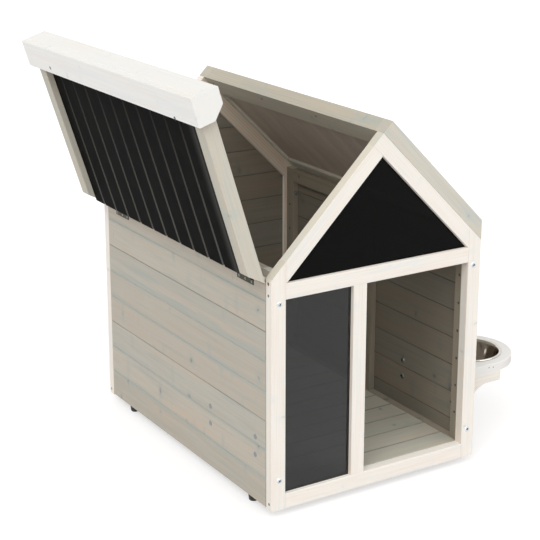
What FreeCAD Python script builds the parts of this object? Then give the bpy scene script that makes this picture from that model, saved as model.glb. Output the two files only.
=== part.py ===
import FreeCAD, Part
import math
import os

Vector = FreeCAD.Vector
UP = Vector(0, 0, 1)
DIAGONAL = math.sqrt(0.5)

# House, in millimetres. X runs across the front, Y goes into the depth, Z is up.
# The house is drawn with x = 0 in its middle, y = 0 on the front face and z = 0 under the posts.
WIDTH = 600.0
DEPTH = 858.0
EAVE_Z = 570.0
HALF = WIDTH / 2
APEX_Z = EAVE_Z + HALF
SLOPE_LENGTH = HALF / DIAGONAL

# Planed timber of the two gable frames
TIMBER_W = 38.0
TIMBER_T = 25.0
POST_IN = HALF - TIMBER_W
BACK_Y = DEPTH - TIMBER_T
ARRIS = 1.0
LONG_EDGE = 100.0

# Front openings
RAIL_LOW = 518.0
RAIL_HIGH = RAIL_LOW + TIMBER_W
DOOR_LEFT = -38.0
MULLION_LEFT = DOOR_LEFT - TIMBER_W

# Smoked panes and the grooves that hold them
PANE_T = 3.0
PANE_Y = 11.0
PANE_LAP = 7.0
PANE_PLAY = 1.0
PANE_SLACK = 0.2
PANE_TIP_X = 258.0

# Tongue and groove boards
BOARD_T = 12.0
BOARD_PITCH = 73.0
TONGUE_T = 4.0
TONGUE_H = 5.0
GROOVE_PLAY = 0.3
BOARD_V = 1.5

# Side walls: first seam, bottom edge and top edges of the boards
WALL_SEAM = 75.0
WALL_BOTTOM = 2.0
WALL_TOP_LEFT = 553.0
WALL_TOP_RIGHT = EAVE_Z
WALL_IN = HALF - BOARD_T
STILE_T = 18.0
STILE_IN = WALL_IN - STILE_T
END_STILE_W = 32.0
MID_STILE_Y = 410.0
MID_STILE_W = 38.0
STILE_TOP = 582.0
TOP_RAIL_LOW = STILE_TOP - TIMBER_W
SILL_T = 22.0
SILL_IN = WALL_IN - SILL_T

# Back boards lie in a rebate of the back frame
BACK_SEAM = 60.0
BACK_REBATE_W = 10.0
BACK_SETBACK = 3.0
BACK_FACE_Y = DEPTH - BACK_SETBACK

# Floor boards on three bearers
FLOOR_TOP = TIMBER_W
FLOOR_T = 15.0
FLOOR_SEAM = 88.0
FLOOR_PITCH = 71.0
FLOOR_HALF = SILL_IN - 1.0
BEARER_T = 18.0
BEARER_LOW = 3.0

# Feet
FOOT_X = 280.0
FOOT_Y = 114.0
FOOT_R = 12.5
FOOT_TREAD_R = 8.5
FOOT_BEVEL = 2.5
FOOT_H = 20.0
FOOT_SCREW_RECESS = 6.0
FOOT_SCREW_HEAD_R = 4.0
FOOT_SCREW_HEAD_H = 2.5
FOOT_SCREW_R = 2.0
FOOT_SCREW_LENGTH = 40.0

# Roof panels, drawn as (distance up the slope from the eave, distance out from the slope)
ROOF_T = 36.0
VERGE_W = 36.0
ROOF_RAIL_T = 13.0
RIDGE_RAIL_LOW = 352.0
RIDGE_UPSTAND = 24.0
EAVE_RAIL_UP = 52.0
PLY_T = 5.0
PLY_LAP = 8.0
SHEET_LOW = 12.5
SHEET_TOP = 20.0
SHEET_FLOOR = 13.2
SHEET_T = 1.2
SHEET_GROOVES = 11
SHEET_PITCH = 69.37
SHEET_SHIFT = -6.3
SHEET_GROOVE_TOP_W = 9.0
SHEET_GROOVE_FLOOR_W = 6.0
SIDE_PLAY = 0.5

# Lid: the left roof panel, hinged on the left wall and drawn closed, then swung open
HINGE_X = -304.5
HINGE_Z = 555.0
OPEN_ANGLE = 62.5
LID_GAP = 0.5
LID_RIDGE_PLAY = 1.0
LIP_T = 11.5
LIP_LOW = 557.0
LIP_PLAY = 1.0

# Ridge cap on the lid: a square section with one corner cut off flat
CAP_SIDE = 68.5
CAP_T = 15.0
CAP_GAP = 2.0
CAP_PLATE_T = 16.0
CAP_CUT = 28.3
CAP_OVERHANG = 18.0

# Hinges
HINGE_LENGTH = 72.0
HINGE_STARTS = (77.0, DEPTH - 77.0 - HINGE_LENGTH)
LEAF_T = 1.5
LEAF_W = 17.0
KNUCKLE_R = 4.5
KNUCKLE_BORE_R = 3.0
KNUCKLES = 3
KNUCKLE_PLAY = 0.3
PIN_R = 2.95
LEAF_SCREW_OFFSET = 11.0
LEAF_SCREW_PITCH = 28.0
LEAF_SCREW_HEAD_R = 3.0
LEAF_SCREW_R = 1.5
LEAF_SCREW_LENGTH = 10.0

# Lid stay: a slotted bar between a rivet on the lid and a shoulder screw on the back rafter
STAY_RADIUS = 164.8
STAY_SCREW_ANGLE = 37.5
STAY_RIVET_OUT = -6.0
STAY_BAR_Y = 816.0
STAY_BAR_T = 3.0
STAY_BAR_W = 16.0
STAY_BAR_END = 4.0
STAY_SCREW_R = 3.0
STAY_SCREW_HEAD_R = 6.0
STAY_SCREW_HEAD_H = 2.5
STAY_THREAD_R = 2.2
STAY_THREAD_LENGTH = 9.0
STAY_SLOT_PLAY = 0.3
RIVET_R = 2.5
RIVET_HEAD_R = 5.0
RIVET_HEAD_H = 2.0
RIVET_TAIL = 1.0
RIVET_PLAY = 0.05

# The stay's plate on the lid: wide where its screws are, with a narrower tab that carries the rivet
STAY_PLATE_Y = 819.5
PLATE_HALF = 30.0
PLATE_TOP_OUT = 7.2
PLATE_LOW_OUT = -1.0
TAB_HALF = 9.0
TAB_LOW_OUT = -13.5
PLATE_SCREW_OUT = 3.6
PLATE_SCREW_OFFSETS = (-20.0, 20.0)
PLATE_SCREW_HEAD_R = 2.8
PLATE_SCREW_HEAD_H = 1.4
PLATE_SCREW_R = 1.4
PLATE_SCREW_LENGTH = 16.0

# Bowl holder on the right wall
HOLDER_TOP = 202.0
HOLDER_T = 22.0
HOLDER_Y = 179.0
HOLDER_R = 115.0
HOLDER_REACH = 421.0
HOLDER_BEVEL = 1.5
BOWL_HOLE_R = 84.0
BRACKET_T = 18.0
BRACKET_REACH = 438.0
BRACKET_NOSE = 27.0
BRACKET_NOTCH_X = 396.0
BRACKET_ARC_R = 57.0
BRACKET_LOW = 90.0
BOLT_ROWS_Z = (120.0, 165.0)

# Dome-headed bolts of the brackets, and the plugs in the other wall's holes: (radius, height) pairs
DOME_PROFILE = ((7.0, 0.0), (5.5, 1.8), (3.0, 3.0))
DOME_BOLT_R = 3.0
DOME_BOLT_LENGTH = 42.0
PLUG_PROFILE = ((5.0, 0.0), (4.2, 1.5))
PLUG_R = 3.0
PLUG_LENGTH = 9.0

# Food bowl
BOWL_RIM_R = 90.0
BOWL_MOUTH_R = 82.5
BOWL_FLOOR_R = 50.0
BOWL_BEND_R = 60.0
BOWL_BEND_H = 8.0
BOWL_DEPTH = 58.0
BOWL_T = 1.0
BOWL_RIM_H = 3.0
BOWL_RIM_EDGE = 1.0
BOWL_SEAT_PLAY = 0.3

# Frame bolts
FRAME_BOLT_X = 279.0
FRAME_BOLT_Z = (76.0, 510.0)
FRAME_BOLT_R = 3.0
FRAME_BOLT_HEAD_R = 6.0
FRAME_BOLT_HEAD_H = 2.5
SOCKET_ACROSS = 4.0
SOCKET_DEPTH = 1.8
NUT_ACROSS = 10.0
NUT_H = 5.0
BOLT_END = 2.0

# Turned pieces have flat sides, few on the small ones that repeat; only running fits are true cylinders
BOWL_SIDES = 40
FOOT_SIDES = 12
HEAD_SIDES = 10
SHANK_SIDES = 6
HEX_SIDES = 6


def closed_face(corners):
    return Part.Face(Part.makePolygon(corners + corners[:1]))


def face_outline(outline, axis, level):
    """A flat face from corner pairs: (y, z) for axis x, (x, z) for axis y, (x, y) for axis z."""
    place = {
        "x": lambda a, b: Vector(level, a, b),
        "y": lambda a, b: Vector(a, level, b),
        "z": lambda a, b: Vector(a, b, level),
    }[axis]
    return closed_face([place(a, b) for a, b in outline])


def prism(outline, axis, start, end):
    way = {"x": Vector(1, 0, 0), "y": Vector(0, 1, 0), "z": Vector(0, 0, 1)}[axis]
    return face_outline(outline, axis, start).extrude(way * (end - start))


def block(x_pair, y_pair, z_pair):
    low = Vector(min(x_pair), min(y_pair), min(z_pair))
    high = Vector(max(x_pair), max(y_pair), max(z_pair))
    return Part.makeBox(high.x - low.x, high.y - low.y, high.z - low.z, low)


def rod(radius, foot, head):
    way = head - foot
    return Part.makeCylinder(radius, way.Length, foot, way)


def ring(sides, radius, centre, way):
    """Corners of a regular polygon around an axis along X, Y or Z, as large as the circle it stands for."""
    reach = radius * math.sqrt(2 * math.pi / sides / math.sin(2 * math.pi / sides))
    first = Vector(way.y, way.z, way.x)
    second = way.cross(first)
    corners = []
    for index in range(sides):
        angle = 2 * math.pi * (index + 0.5) / sides
        corners.append(centre + first * (reach * math.cos(angle)) + second * (reach * math.sin(angle)))
    return corners


def peg(radius, foot, head, sides=SHANK_SIDES):
    """A straight fastener shank or head with few sides."""
    length = head - foot
    way = length * (1 / length.Length)
    return closed_face(ring(sides, radius, foot, way)).extrude(length)


def turned(profile, foot, way, sides):
    """A turned piece with flat sides, from (radius, height) pairs; its two ends are closed flat."""
    rings = [ring(sides, radius, foot + way * height, way) for radius, height in profile]
    faces = [closed_face(rings[0]), closed_face(rings[-1])]
    for low, high in zip(rings, rings[1:]):
        for index in range(sides):
            faces.append(closed_face([low[index - 1], low[index], high[index], high[index - 1]]))
    return Part.makeSolid(Part.makeShell(faces)).removeSplitter()


def cut_all(shape, tools):
    for tool in tools:
        shape = shape.cut(tool)
    return shape


def ease_edges(shape):
    """Take the sharp arris off every long edge."""
    return shape.makeChamfer(ARRIS, [edge for edge in shape.Edges if edge.Length > LONG_EDGE])


def right_slope(outline):
    """Turn (up the slope, out of the slope) into (x, z) on the right roof."""
    return [(HALF - (up - out) * DIAGONAL, EAVE_Z + (up + out) * DIAGONAL) for up, out in outline]


def left_slope(outline):
    """The same on the left, for the closed lid, which rests a little above the frames."""
    return [(-x, z) for x, z in right_slope([(up, out + LID_GAP) for up, out in outline])]


def swing_open(shape):
    swung = shape.copy()
    swung.rotate(Vector(HINGE_X, 0, HINGE_Z), Vector(0, 1, 0), -OPEN_ANGLE)
    return swung


def open_point(x, z):
    """Where a point of the closed lid stands when the lid is open."""
    angle = math.radians(OPEN_ANGLE)
    side = x - HINGE_X
    rise = z - HINGE_Z
    new_x = HINGE_X + side * math.cos(angle) - rise * math.sin(angle)
    new_z = HINGE_Z + side * math.sin(angle) + rise * math.cos(angle)
    return new_x, new_z


def board_outlines(edges, thick, first_groove=False, last_tongue=False):
    """Outlines of tongue and groove boards between the edges: (across the boards, depth below the face)."""
    middle = thick / 2
    tongue_top = middle - TONGUE_T / 2
    tongue_bottom = middle + TONGUE_T / 2
    groove_top = tongue_top - GROOVE_PLAY / 2
    groove_bottom = tongue_bottom + GROOVE_PLAY / 2
    groove_depth = TONGUE_H + GROOVE_PLAY
    outlines = []
    for index in range(len(edges) - 1):
        low = edges[index]
        high = edges[index + 1]
        outline = [(low + BOARD_V, 0), (low, BOARD_V)]
        if index > 0 or first_groove:
            outline += [(low, groove_top), (low + groove_depth, groove_top)]
            outline += [(low + groove_depth, groove_bottom), (low, groove_bottom)]
        outline += [(low, thick - BOARD_V), (low + BOARD_V, thick)]
        outline += [(high - BOARD_V, thick), (high, thick - BOARD_V)]
        if index < len(edges) - 2 or last_tongue:
            outline += [(high, tongue_bottom), (high + TONGUE_H, tongue_bottom)]
            outline += [(high + TONGUE_H, tongue_top), (high, tongue_top)]
        outline += [(high, BOARD_V), (high - BOARD_V, 0)]
        outlines.append(outline)
    return outlines


def board_edges(start, first_seam, pitch, end):
    edges = [start]
    seam = first_seam
    while seam < end - TONGUE_H:
        edges.append(seam)
        seam += pitch
    return edges + [end]


def slope_line(x):
    return APEX_Z - abs(x)


def window_pane(play=0.0, slack=0.0):
    """The smoked pane beside the door; the grooves are cut with the same pane made a little larger."""
    lap = PANE_LAP + play
    return block(
        (-POST_IN - lap, MULLION_LEFT + lap),
        (PANE_Y - slack, PANE_Y + PANE_T + slack),
        (TIMBER_W - lap, RAIL_LOW + lap),
    )


def gable_pane(play=0.0, slack=0.0):
    """The triangular pane, with its two sharp tips cut off plumb."""
    lap = PANE_LAP + play
    apex = APEX_Z - TIMBER_W / DIAGONAL + lap / DIAGONAL
    tip = PANE_TIP_X + play
    base = RAIL_HIGH - lap
    outline = [(-tip, base), (tip, base), (tip, apex - tip), (0, apex), (-tip, apex - tip)]
    return prism(outline, "y", PANE_Y - slack, PANE_Y + PANE_T + slack)


def gable_post(side, y_low):
    outline = [(side * POST_IN, 0), (side * HALF, 0)]
    outline += [(side * HALF, EAVE_Z), (side * POST_IN, slope_line(POST_IN))]
    return ease_edges(prism(outline, "y", y_low, y_low + TIMBER_T))


def gable_rafters(y_low, foot_z):
    """The right rafter runs through the apex and the left one butts square against it."""
    drop = TIMBER_W / DIAGONAL
    across = TIMBER_W * DIAGONAL
    feet_level = block((-HALF, HALF), (y_low, y_low + TIMBER_T), (0, foot_z))
    right = [(POST_IN, slope_line(POST_IN)), (0, APEX_Z), (-across, APEX_Z - across)]
    right += [(POST_IN, slope_line(POST_IN) - drop)]
    left = [(-POST_IN, slope_line(POST_IN)), (-across, APEX_Z - across), (0, APEX_Z - drop)]
    left += [(-POST_IN, slope_line(POST_IN) - drop)]
    rafters = [ease_edges(prism(outline, "y", y_low, y_low + TIMBER_T)) for outline in (left, right)]
    return [rafter.cut(feet_level) for rafter in rafters]


def gable_rail(z_low, y_low):
    rail = block((-POST_IN, POST_IN), (y_low, y_low + TIMBER_T), (z_low, z_low + TIMBER_W))
    return ease_edges(rail)


def frame_bolt_places():
    """Where each bolt's head lies flush in a gable frame, and which way the bolt runs."""
    places = []
    for side in (-1, 1):
        for z in FRAME_BOLT_Z:
            places.append((Vector(side * FRAME_BOLT_X, 0, z), Vector(0, 1, 0)))
            places.append((Vector(side * FRAME_BOLT_X, DEPTH, z), Vector(0, -1, 0)))
    return places


def hexagon(centre, way, across, height):
    """A six-sided prism whose axis is the Y direction."""
    reach = across / 2 / math.cos(math.pi / HEX_SIDES)
    corners = []
    for index in range(HEX_SIDES):
        angle = 2 * math.pi * index / HEX_SIDES
        corners.append((centre.x + reach * math.cos(angle), centre.z + reach * math.sin(angle)))
    return prism(corners, "y", centre.y, centre.y + way.y * height)


def frame_bolt(face, way):
    """A flat-headed bolt through a post and the wall stile behind it."""
    end = face + way * (TIMBER_T + END_STILE_W + NUT_H + BOLT_END)
    head = peg(FRAME_BOLT_HEAD_R, face, face + way * FRAME_BOLT_HEAD_H, HEAD_SIDES)
    return peg(FRAME_BOLT_R, face, end).fuse(head)


def frame_nut(face, way):
    start = face + way * (TIMBER_T + END_STILE_W)
    return hexagon(start, way, NUT_ACROSS, NUT_H).cut(peg(FRAME_BOLT_R, start, start + way * NUT_H))


def frame_fasteners():
    bolts = []
    for face, way in frame_bolt_places():
        bolts.append(frame_bolt(face, way).cut(hexagon(face, way, SOCKET_ACROSS, SOCKET_DEPTH)))
    nuts = [frame_nut(*place) for place in frame_bolt_places()]
    return {"frame_bolts": Part.makeCompound(bolts), "frame_nuts": Part.makeCompound(nuts)}


def front_frame():
    bolts = [frame_bolt(*place) for place in frame_bolt_places()]
    window_groove = window_pane(PANE_PLAY, PANE_SLACK)
    gable_groove = gable_pane(PANE_PLAY, PANE_SLACK)
    left_rafter, right_rafter = gable_rafters(0, RAIL_HIGH)
    mullion = block((MULLION_LEFT, DOOR_LEFT), (0, TIMBER_T), (TIMBER_W, RAIL_LOW))
    members = {
        "front_post_left": gable_post(-1, 0),
        "front_post_right": gable_post(1, 0),
        "front_rafter_left": left_rafter,
        "front_rafter_right": right_rafter,
        "front_cross_rail": gable_rail(RAIL_LOW, 0),
        "front_bottom_rail": gable_rail(0, 0),
        "door_mullion": ease_edges(mullion),
    }
    members = {node: cut_all(shape, bolts + [window_groove, gable_groove]) for node, shape in members.items()}
    members["window_pane"] = window_pane()
    members["gable_pane"] = gable_pane()
    return members


def back_opening(lap):
    """The gable outline inside the back frame, made larger by the lap."""
    side = POST_IN + lap
    apex = APEX_Z - TIMBER_W / DIAGONAL + lap / DIAGONAL
    low = TIMBER_W - lap
    return [(-side, low), (side, low), (side, apex - side), (0, apex), (-side, apex - side)]


def back_frame():
    bolts = [frame_bolt(*place) for place in frame_bolt_places()]
    rebate = prism(back_opening(BACK_REBATE_W), "y", BACK_FACE_Y - BOARD_T, DEPTH)
    left_rafter, right_rafter = gable_rafters(BACK_Y, TIMBER_W)
    members = {
        "back_post_left": gable_post(-1, BACK_Y),
        "back_post_right": gable_post(1, BACK_Y),
        "back_rafter_left": left_rafter,
        "back_rafter_right": right_rafter,
        "back_bottom_rail": gable_rail(0, BACK_Y),
    }
    members = {node: cut_all(shape, bolts + [rebate]) for node, shape in members.items()}
    members["back_boards"] = back_boards()
    return members


def back_boards():
    outline = back_opening(BACK_REBATE_W)
    low = outline[0][1]
    high = outline[3][1]
    limit = prism(outline, "y", BACK_FACE_Y - BOARD_T, BACK_FACE_Y)
    boards = []
    for profile in board_outlines(board_edges(low, BACK_SEAM, BOARD_PITCH, high), BOARD_T):
        section = [(BACK_FACE_Y - depth, across) for across, depth in profile]
        boards.append(prism(section, "x", -POST_IN - BACK_REBATE_W, POST_IN + BACK_REBATE_W).common(limit))
    return Part.makeCompound(boards)


def wall_boards(side, top, holes):
    boards = []
    for profile in board_outlines(board_edges(WALL_BOTTOM, WALL_SEAM, BOARD_PITCH, top), BOARD_T):
        section = [(side * (HALF - depth), across) for across, depth in profile]
        boards.append(cut_all(prism(section, "y", TIMBER_T, BACK_Y), holes))
    return Part.makeCompound(boards)


def wall_stiles(side):
    bolts = [frame_bolt(*place) for place in frame_bolt_places()]
    across = (side * STILE_IN, side * WALL_IN)
    front = block(across, (TIMBER_T, TIMBER_T + END_STILE_W), (TIMBER_W, STILE_TOP))
    middle = block(across, (MID_STILE_Y, MID_STILE_Y + MID_STILE_W), (TIMBER_W, TOP_RAIL_LOW))
    back = block(across, (BACK_Y - END_STILE_W, BACK_Y), (TIMBER_W, STILE_TOP))
    stiles = [cut_all(ease_edges(stile), bolts) for stile in (front, middle, back)]
    return Part.makeCompound(stiles)


def wall_top_rail(side):
    lengthwise = (TIMBER_T + END_STILE_W, BACK_Y - END_STILE_W)
    rail = block((side * STILE_IN, side * WALL_IN), lengthwise, (TOP_RAIL_LOW, STILE_TOP))
    return ease_edges(rail)


def wall_bottom_rail(side):
    rail = block((side * SILL_IN, side * WALL_IN), (TIMBER_T, BACK_Y), (0, TIMBER_W))
    return cut_all(ease_edges(rail), [foot_screw(*place) for place in foot_places()])


def floor():
    boards = []
    for profile in board_outlines(board_edges(TIMBER_T, FLOOR_SEAM, FLOOR_PITCH, BACK_Y), FLOOR_T):
        section = [(across, FLOOR_TOP - depth) for across, depth in profile]
        boards.append(prism(section, "x", -FLOOR_HALF, FLOOR_HALF))
    bearers = []
    bearer_top = FLOOR_TOP - FLOOR_T
    for low, high in ((-SILL_IN, BEARER_T - SILL_IN), (-BEARER_T, BEARER_T), (SILL_IN - BEARER_T, SILL_IN)):
        bearers.append(block((low, high), (TIMBER_T, BACK_Y), (BEARER_LOW, bearer_top)))
    return {"floor_boards": Part.makeCompound(boards), "floor_bearers": Part.makeCompound(bearers)}


def foot_places():
    return [(side * FOOT_X, y) for side in (-1, 1) for y in (FOOT_Y, DEPTH - FOOT_Y)]


def foot_screw(x, y):
    head_low = Vector(x, y, FOOT_SCREW_RECESS - FOOT_H)
    head = peg(FOOT_SCREW_HEAD_R, head_low, head_low + UP * FOOT_SCREW_HEAD_H)
    return head.fuse(peg(FOOT_SCREW_R, head_low, head_low + UP * FOOT_SCREW_LENGTH))


def foot(x, y):
    """A moulded foot: a bevelled tread under a slow taper, with a recess for its screw."""
    low = Vector(x, y, -FOOT_H)
    profile = ((FOOT_TREAD_R, 0), (FOOT_TREAD_R + FOOT_BEVEL, FOOT_BEVEL), (FOOT_R, FOOT_H))
    recess = peg(FOOT_SCREW_HEAD_R, low, low + UP * FOOT_SCREW_RECESS)
    return cut_all(turned(profile, low, UP, FOOT_SIDES), [recess, foot_screw(x, y)])


def roof_sheet_section(y_low, y_high):
    """Ribbed sheet seen from its lower end: wide raised pans with narrow grooves, as (y, out)."""
    wall = SHEET_T
    upper = [(y_low, SHEET_TOP)]
    lower = [(y_low, SHEET_TOP - wall)]
    half_top = SHEET_GROOVE_TOP_W / 2
    half_floor = SHEET_GROOVE_FLOOR_W / 2
    first = DEPTH / 2 - SHEET_PITCH * (SHEET_GROOVES - 1) / 2 + SHEET_SHIFT
    for index in range(SHEET_GROOVES):
        centre = first + SHEET_PITCH * index
        upper += [(centre - half_top, SHEET_TOP), (centre - half_floor, SHEET_FLOOR + wall)]
        upper += [(centre + half_floor, SHEET_FLOOR + wall), (centre + half_top, SHEET_TOP)]
        lower += [(centre - half_top - wall, SHEET_TOP - wall), (centre - half_floor - wall, SHEET_FLOOR)]
        lower += [(centre + half_floor + wall, SHEET_FLOOR), (centre + half_top + wall, SHEET_TOP - wall)]
    upper.append((y_high, SHEET_TOP))
    lower.append((y_high, SHEET_TOP - wall))
    return upper + lower[::-1]


def roof_sheet(slope, ridge):
    """The sheet's section stands square to the slope at its lower end and is pushed up to the ridge rail."""
    section = roof_sheet_section(VERGE_W + SIDE_PLAY, DEPTH - VERGE_W - SIDE_PLAY)
    (x_foot, z_foot), (x_head, z_head) = slope([(SHEET_LOW, 0), (ridge - RIDGE_UPSTAND - SIDE_PLAY, 0)])
    (x_out, z_out), = slope([(SHEET_LOW, 1)])
    out = Vector(x_out - x_foot, 0, z_out - z_foot)
    face = closed_face([Vector(x_foot, y, z_foot) + out * height for y, height in section])
    return face.extrude(Vector(x_head - x_foot, 0, z_head - z_foot))


def roof_parts(slope, ridge, eave_rail):
    """Verges, ridge rail, eave rail, ply and sheet of one roof panel."""
    inner = (VERGE_W, DEPTH - VERGE_W)
    ply_low = ROOF_RAIL_T - PLY_T
    ply_outline = [(EAVE_RAIL_UP - PLY_LAP, ply_low), (RIDGE_RAIL_LOW + PLY_LAP, ply_low)]
    ply_outline += [(RIDGE_RAIL_LOW + PLY_LAP, ROOF_RAIL_T), (EAVE_RAIL_UP - PLY_LAP, ROOF_RAIL_T)]
    ply = prism(slope(ply_outline), "y", inner[0] - PLY_LAP, inner[1] + PLY_LAP)
    verge = [(0, 0), (ridge, 0), (ridge, ROOF_T), (ROOF_T, ROOF_T)]
    verges = []
    for low in (0, DEPTH - VERGE_W):
        verges.append(ease_edges(prism(slope(verge), "y", low, low + VERGE_W)).cut(ply))
    upstand = ridge - RIDGE_UPSTAND
    ridge_outline = [(RIDGE_RAIL_LOW, 0), (ridge, 0), (ridge, ROOF_T), (upstand, ROOF_T)]
    ridge_outline += [(upstand, ROOF_RAIL_T), (RIDGE_RAIL_LOW, ROOF_RAIL_T)]
    ridge_rail = prism(slope(ridge_outline), "y", *inner).cut(ply)
    return {
        "verges": Part.makeCompound(verges),
        "ridge_rail": ridge_rail,
        "eave_rail": eave_rail.cut(ply),
        "ply": ply,
        "sheet": roof_sheet(slope, ridge),
    }


def fixed_roof():
    inner = (VERGE_W, DEPTH - VERGE_W)
    eave_outline = [(0, 0), (EAVE_RAIL_UP, 0), (EAVE_RAIL_UP, ROOF_RAIL_T), (ROOF_RAIL_T, ROOF_RAIL_T)]
    eave_rail = prism(right_slope(eave_outline), "y", *inner)
    parts = roof_parts(right_slope, SLOPE_LENGTH, eave_rail)
    return {"right_roof_" + name: shape for name, shape in parts.items()}


def lid_eave_rail():
    """The lid's lowest rail: a plumb outer face with a lip that hangs over the wall's top rail."""
    (x_under, z_under), (x_over, z_over) = left_slope([(EAVE_RAIL_UP, 0), (EAVE_RAIL_UP, ROOF_RAIL_T)])
    outer = -HALF
    lip_in = outer + LIP_T
    over_at_outer = z_over - (x_over - outer)
    under_at_outer = z_under - (x_under - outer)
    under_at_lip = under_at_outer + LIP_T
    outline = [(outer, LIP_LOW), (outer, over_at_outer), (x_over, z_over), (x_under, z_under)]
    outline += [(lip_in, under_at_lip), (lip_in, LIP_LOW)]
    lip = [(outer, LIP_LOW), (outer, under_at_outer), (lip_in, under_at_lip), (lip_in, LIP_LOW)]
    rail = prism(outline, "y", VERGE_W, DEPTH - VERGE_W)
    return rail.fuse(prism(lip, "y", TIMBER_T + LIP_PLAY, BACK_Y - LIP_PLAY)).removeSplitter()


def lid_panel():
    ridge = SLOPE_LENGTH - LID_RIDGE_PLAY
    parts = roof_parts(left_slope, ridge, lid_eave_rail())
    for start in HINGE_STARTS:
        parts["eave_rail"] = cut_all(parts["eave_rail"], leaf_screws(start, 1))
    plate_screws = stay_plate_screws()
    parts["verges"] = Part.makeCompound([cut_all(verge, plate_screws) for verge in parts["verges"].Solids])
    return {"lid_" + name: swing_open(shape) for name, shape in parts.items()}


def cap_corners():
    """Outer corner of the ridge cap on the closed lid, up the slope and out of it."""
    return SLOPE_LENGTH + ROOF_T + CAP_GAP + CAP_T, ROOF_T + CAP_T


def ridge_cap():
    top, out = cap_corners()
    low = top - CAP_SIDE
    deep = out - CAP_SIDE
    seat = out - CAP_T
    inside = top - CAP_T
    y_range = (-CAP_OVERHANG, DEPTH + CAP_OVERHANG)
    left = [(low, seat), (top, seat), (top, out), (low, out)]
    right = [(inside, deep), (top, deep), (top, seat), (inside, seat)]
    plate = [(low, seat), (inside, seat), (inside, deep), (low + CAP_CUT, deep), (low, deep + CAP_CUT)]
    plates = []
    for start in (-CAP_OVERHANG, DEPTH + CAP_OVERHANG - CAP_PLATE_T):
        plates.append(prism(left_slope(plate), "y", start, start + CAP_PLATE_T))
    return {
        "ridge_cap_board_left": swing_open(ease_edges(prism(left_slope(left), "y", *y_range))),
        "ridge_cap_board_right": swing_open(ease_edges(prism(left_slope(right), "y", *y_range))),
        "ridge_cap_ends": swing_open(Part.makeCompound(plates)),
    }


def leaf_screws(start, upward):
    """Three screws through one hinge leaf; upward is 1 for the lid leaf and -1 for the wall leaf."""
    middle = start + HINGE_LENGTH / 2
    z = HINGE_Z + upward * LEAF_SCREW_OFFSET
    return [leaf_screw(middle + LEAF_SCREW_PITCH * index, z) for index in (-1, 0, 1)]


def leaf_screw(y, z):
    """A countersunk wood screw."""
    face = Vector(-HALF - LEAF_T, y, z)
    inward = Vector(1, 0, 0)
    head = turned(((LEAF_SCREW_HEAD_R, 0), (LEAF_SCREW_R, LEAF_T)), face, inward, SHANK_SIDES)
    return head.fuse(peg(LEAF_SCREW_R, face, face + inward * LEAF_SCREW_LENGTH))


def hinge_axis(start, end):
    return Vector(HINGE_X, start, HINGE_Z), Vector(HINGE_X, end, HINGE_Z)


def hinge_leaf(start, upward, knuckle_turn):
    """One leaf: a plate, notched for the other leaf's knuckles, rolled round the pin."""
    plate_edge = HINGE_Z + upward * (KNUCKLE_R + KNUCKLE_PLAY)
    far_edge = HINGE_Z + upward * LEAF_W
    x_range = (-HALF - LEAF_T, -HALF)
    leaf = block(x_range, (start, start + HINGE_LENGTH), (plate_edge, far_edge))
    step = HINGE_LENGTH / KNUCKLES
    for index in range(knuckle_turn, KNUCKLES, 2):
        low = start + step * index + KNUCKLE_PLAY / 2
        high = start + step * (index + 1) - KNUCKLE_PLAY / 2
        roll = rod(KNUCKLE_R, *hinge_axis(low, high))
        leaf = leaf.fuse(roll.fuse(block(x_range, (low, high), (HINGE_Z, far_edge))))
    bore = rod(KNUCKLE_BORE_R, *hinge_axis(start, start + HINGE_LENGTH))
    return cut_all(leaf, [bore] + leaf_screws(start, upward)).removeSplitter()


def hinges():
    wall_leaves, lid_leaves, pins, wall_screws, lid_screws = [], [], [], [], []
    for start in HINGE_STARTS:
        wall_leaves.append(hinge_leaf(start, -1, 0))
        lid_leaves.append(hinge_leaf(start, 1, 1))
        pins.append(rod(PIN_R, *hinge_axis(start, start + HINGE_LENGTH)))
        wall_screws += leaf_screws(start, -1)
        lid_screws += leaf_screws(start, 1)
    return {
        "hinge_wall_leaves": Part.makeCompound(wall_leaves),
        "hinge_lid_leaves": swing_open(Part.makeCompound(lid_leaves)),
        "hinge_pins": Part.makeCompound(pins),
        "hinge_wall_screws": Part.makeCompound(wall_screws),
        "hinge_lid_screws": swing_open(Part.makeCompound(lid_screws)),
    }


def rivet_up(out):
    """How far up the slope the rivet lies: on the stay's radius round the hinge, at this distance out."""
    side = HINGE_X + HALF
    rise = HINGE_Z - EAVE_Z
    axis_up = (side + rise) * DIAGONAL
    axis_out = (rise - side) * DIAGONAL - LID_GAP
    return axis_up + math.sqrt(STAY_RADIUS ** 2 - (out - axis_out) ** 2)


def stay_rivet_place():
    (x, z), = left_slope([(rivet_up(STAY_RIVET_OUT), STAY_RIVET_OUT)])
    return x, z


def stay_screw_place():
    angle = math.radians(STAY_SCREW_ANGLE)
    return HINGE_X + STAY_RADIUS * math.cos(angle), HINGE_Z + STAY_RADIUS * math.sin(angle)


def stay_plate_screws():
    inward = Vector(0, 1, 0)
    head_profile = ((PLATE_SCREW_HEAD_R, 0), (PLATE_SCREW_R, PLATE_SCREW_HEAD_H))
    screws = []
    for offset in PLATE_SCREW_OFFSETS:
        (x, z), = left_slope([(rivet_up(STAY_RIVET_OUT) + offset, PLATE_SCREW_OUT)])
        face = Vector(x, STAY_PLATE_Y, z)
        shank = peg(PLATE_SCREW_R, face, face + inward * PLATE_SCREW_LENGTH)
        screws.append(turned(head_profile, face, inward, SHANK_SIDES).fuse(shank))
    return screws


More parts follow.
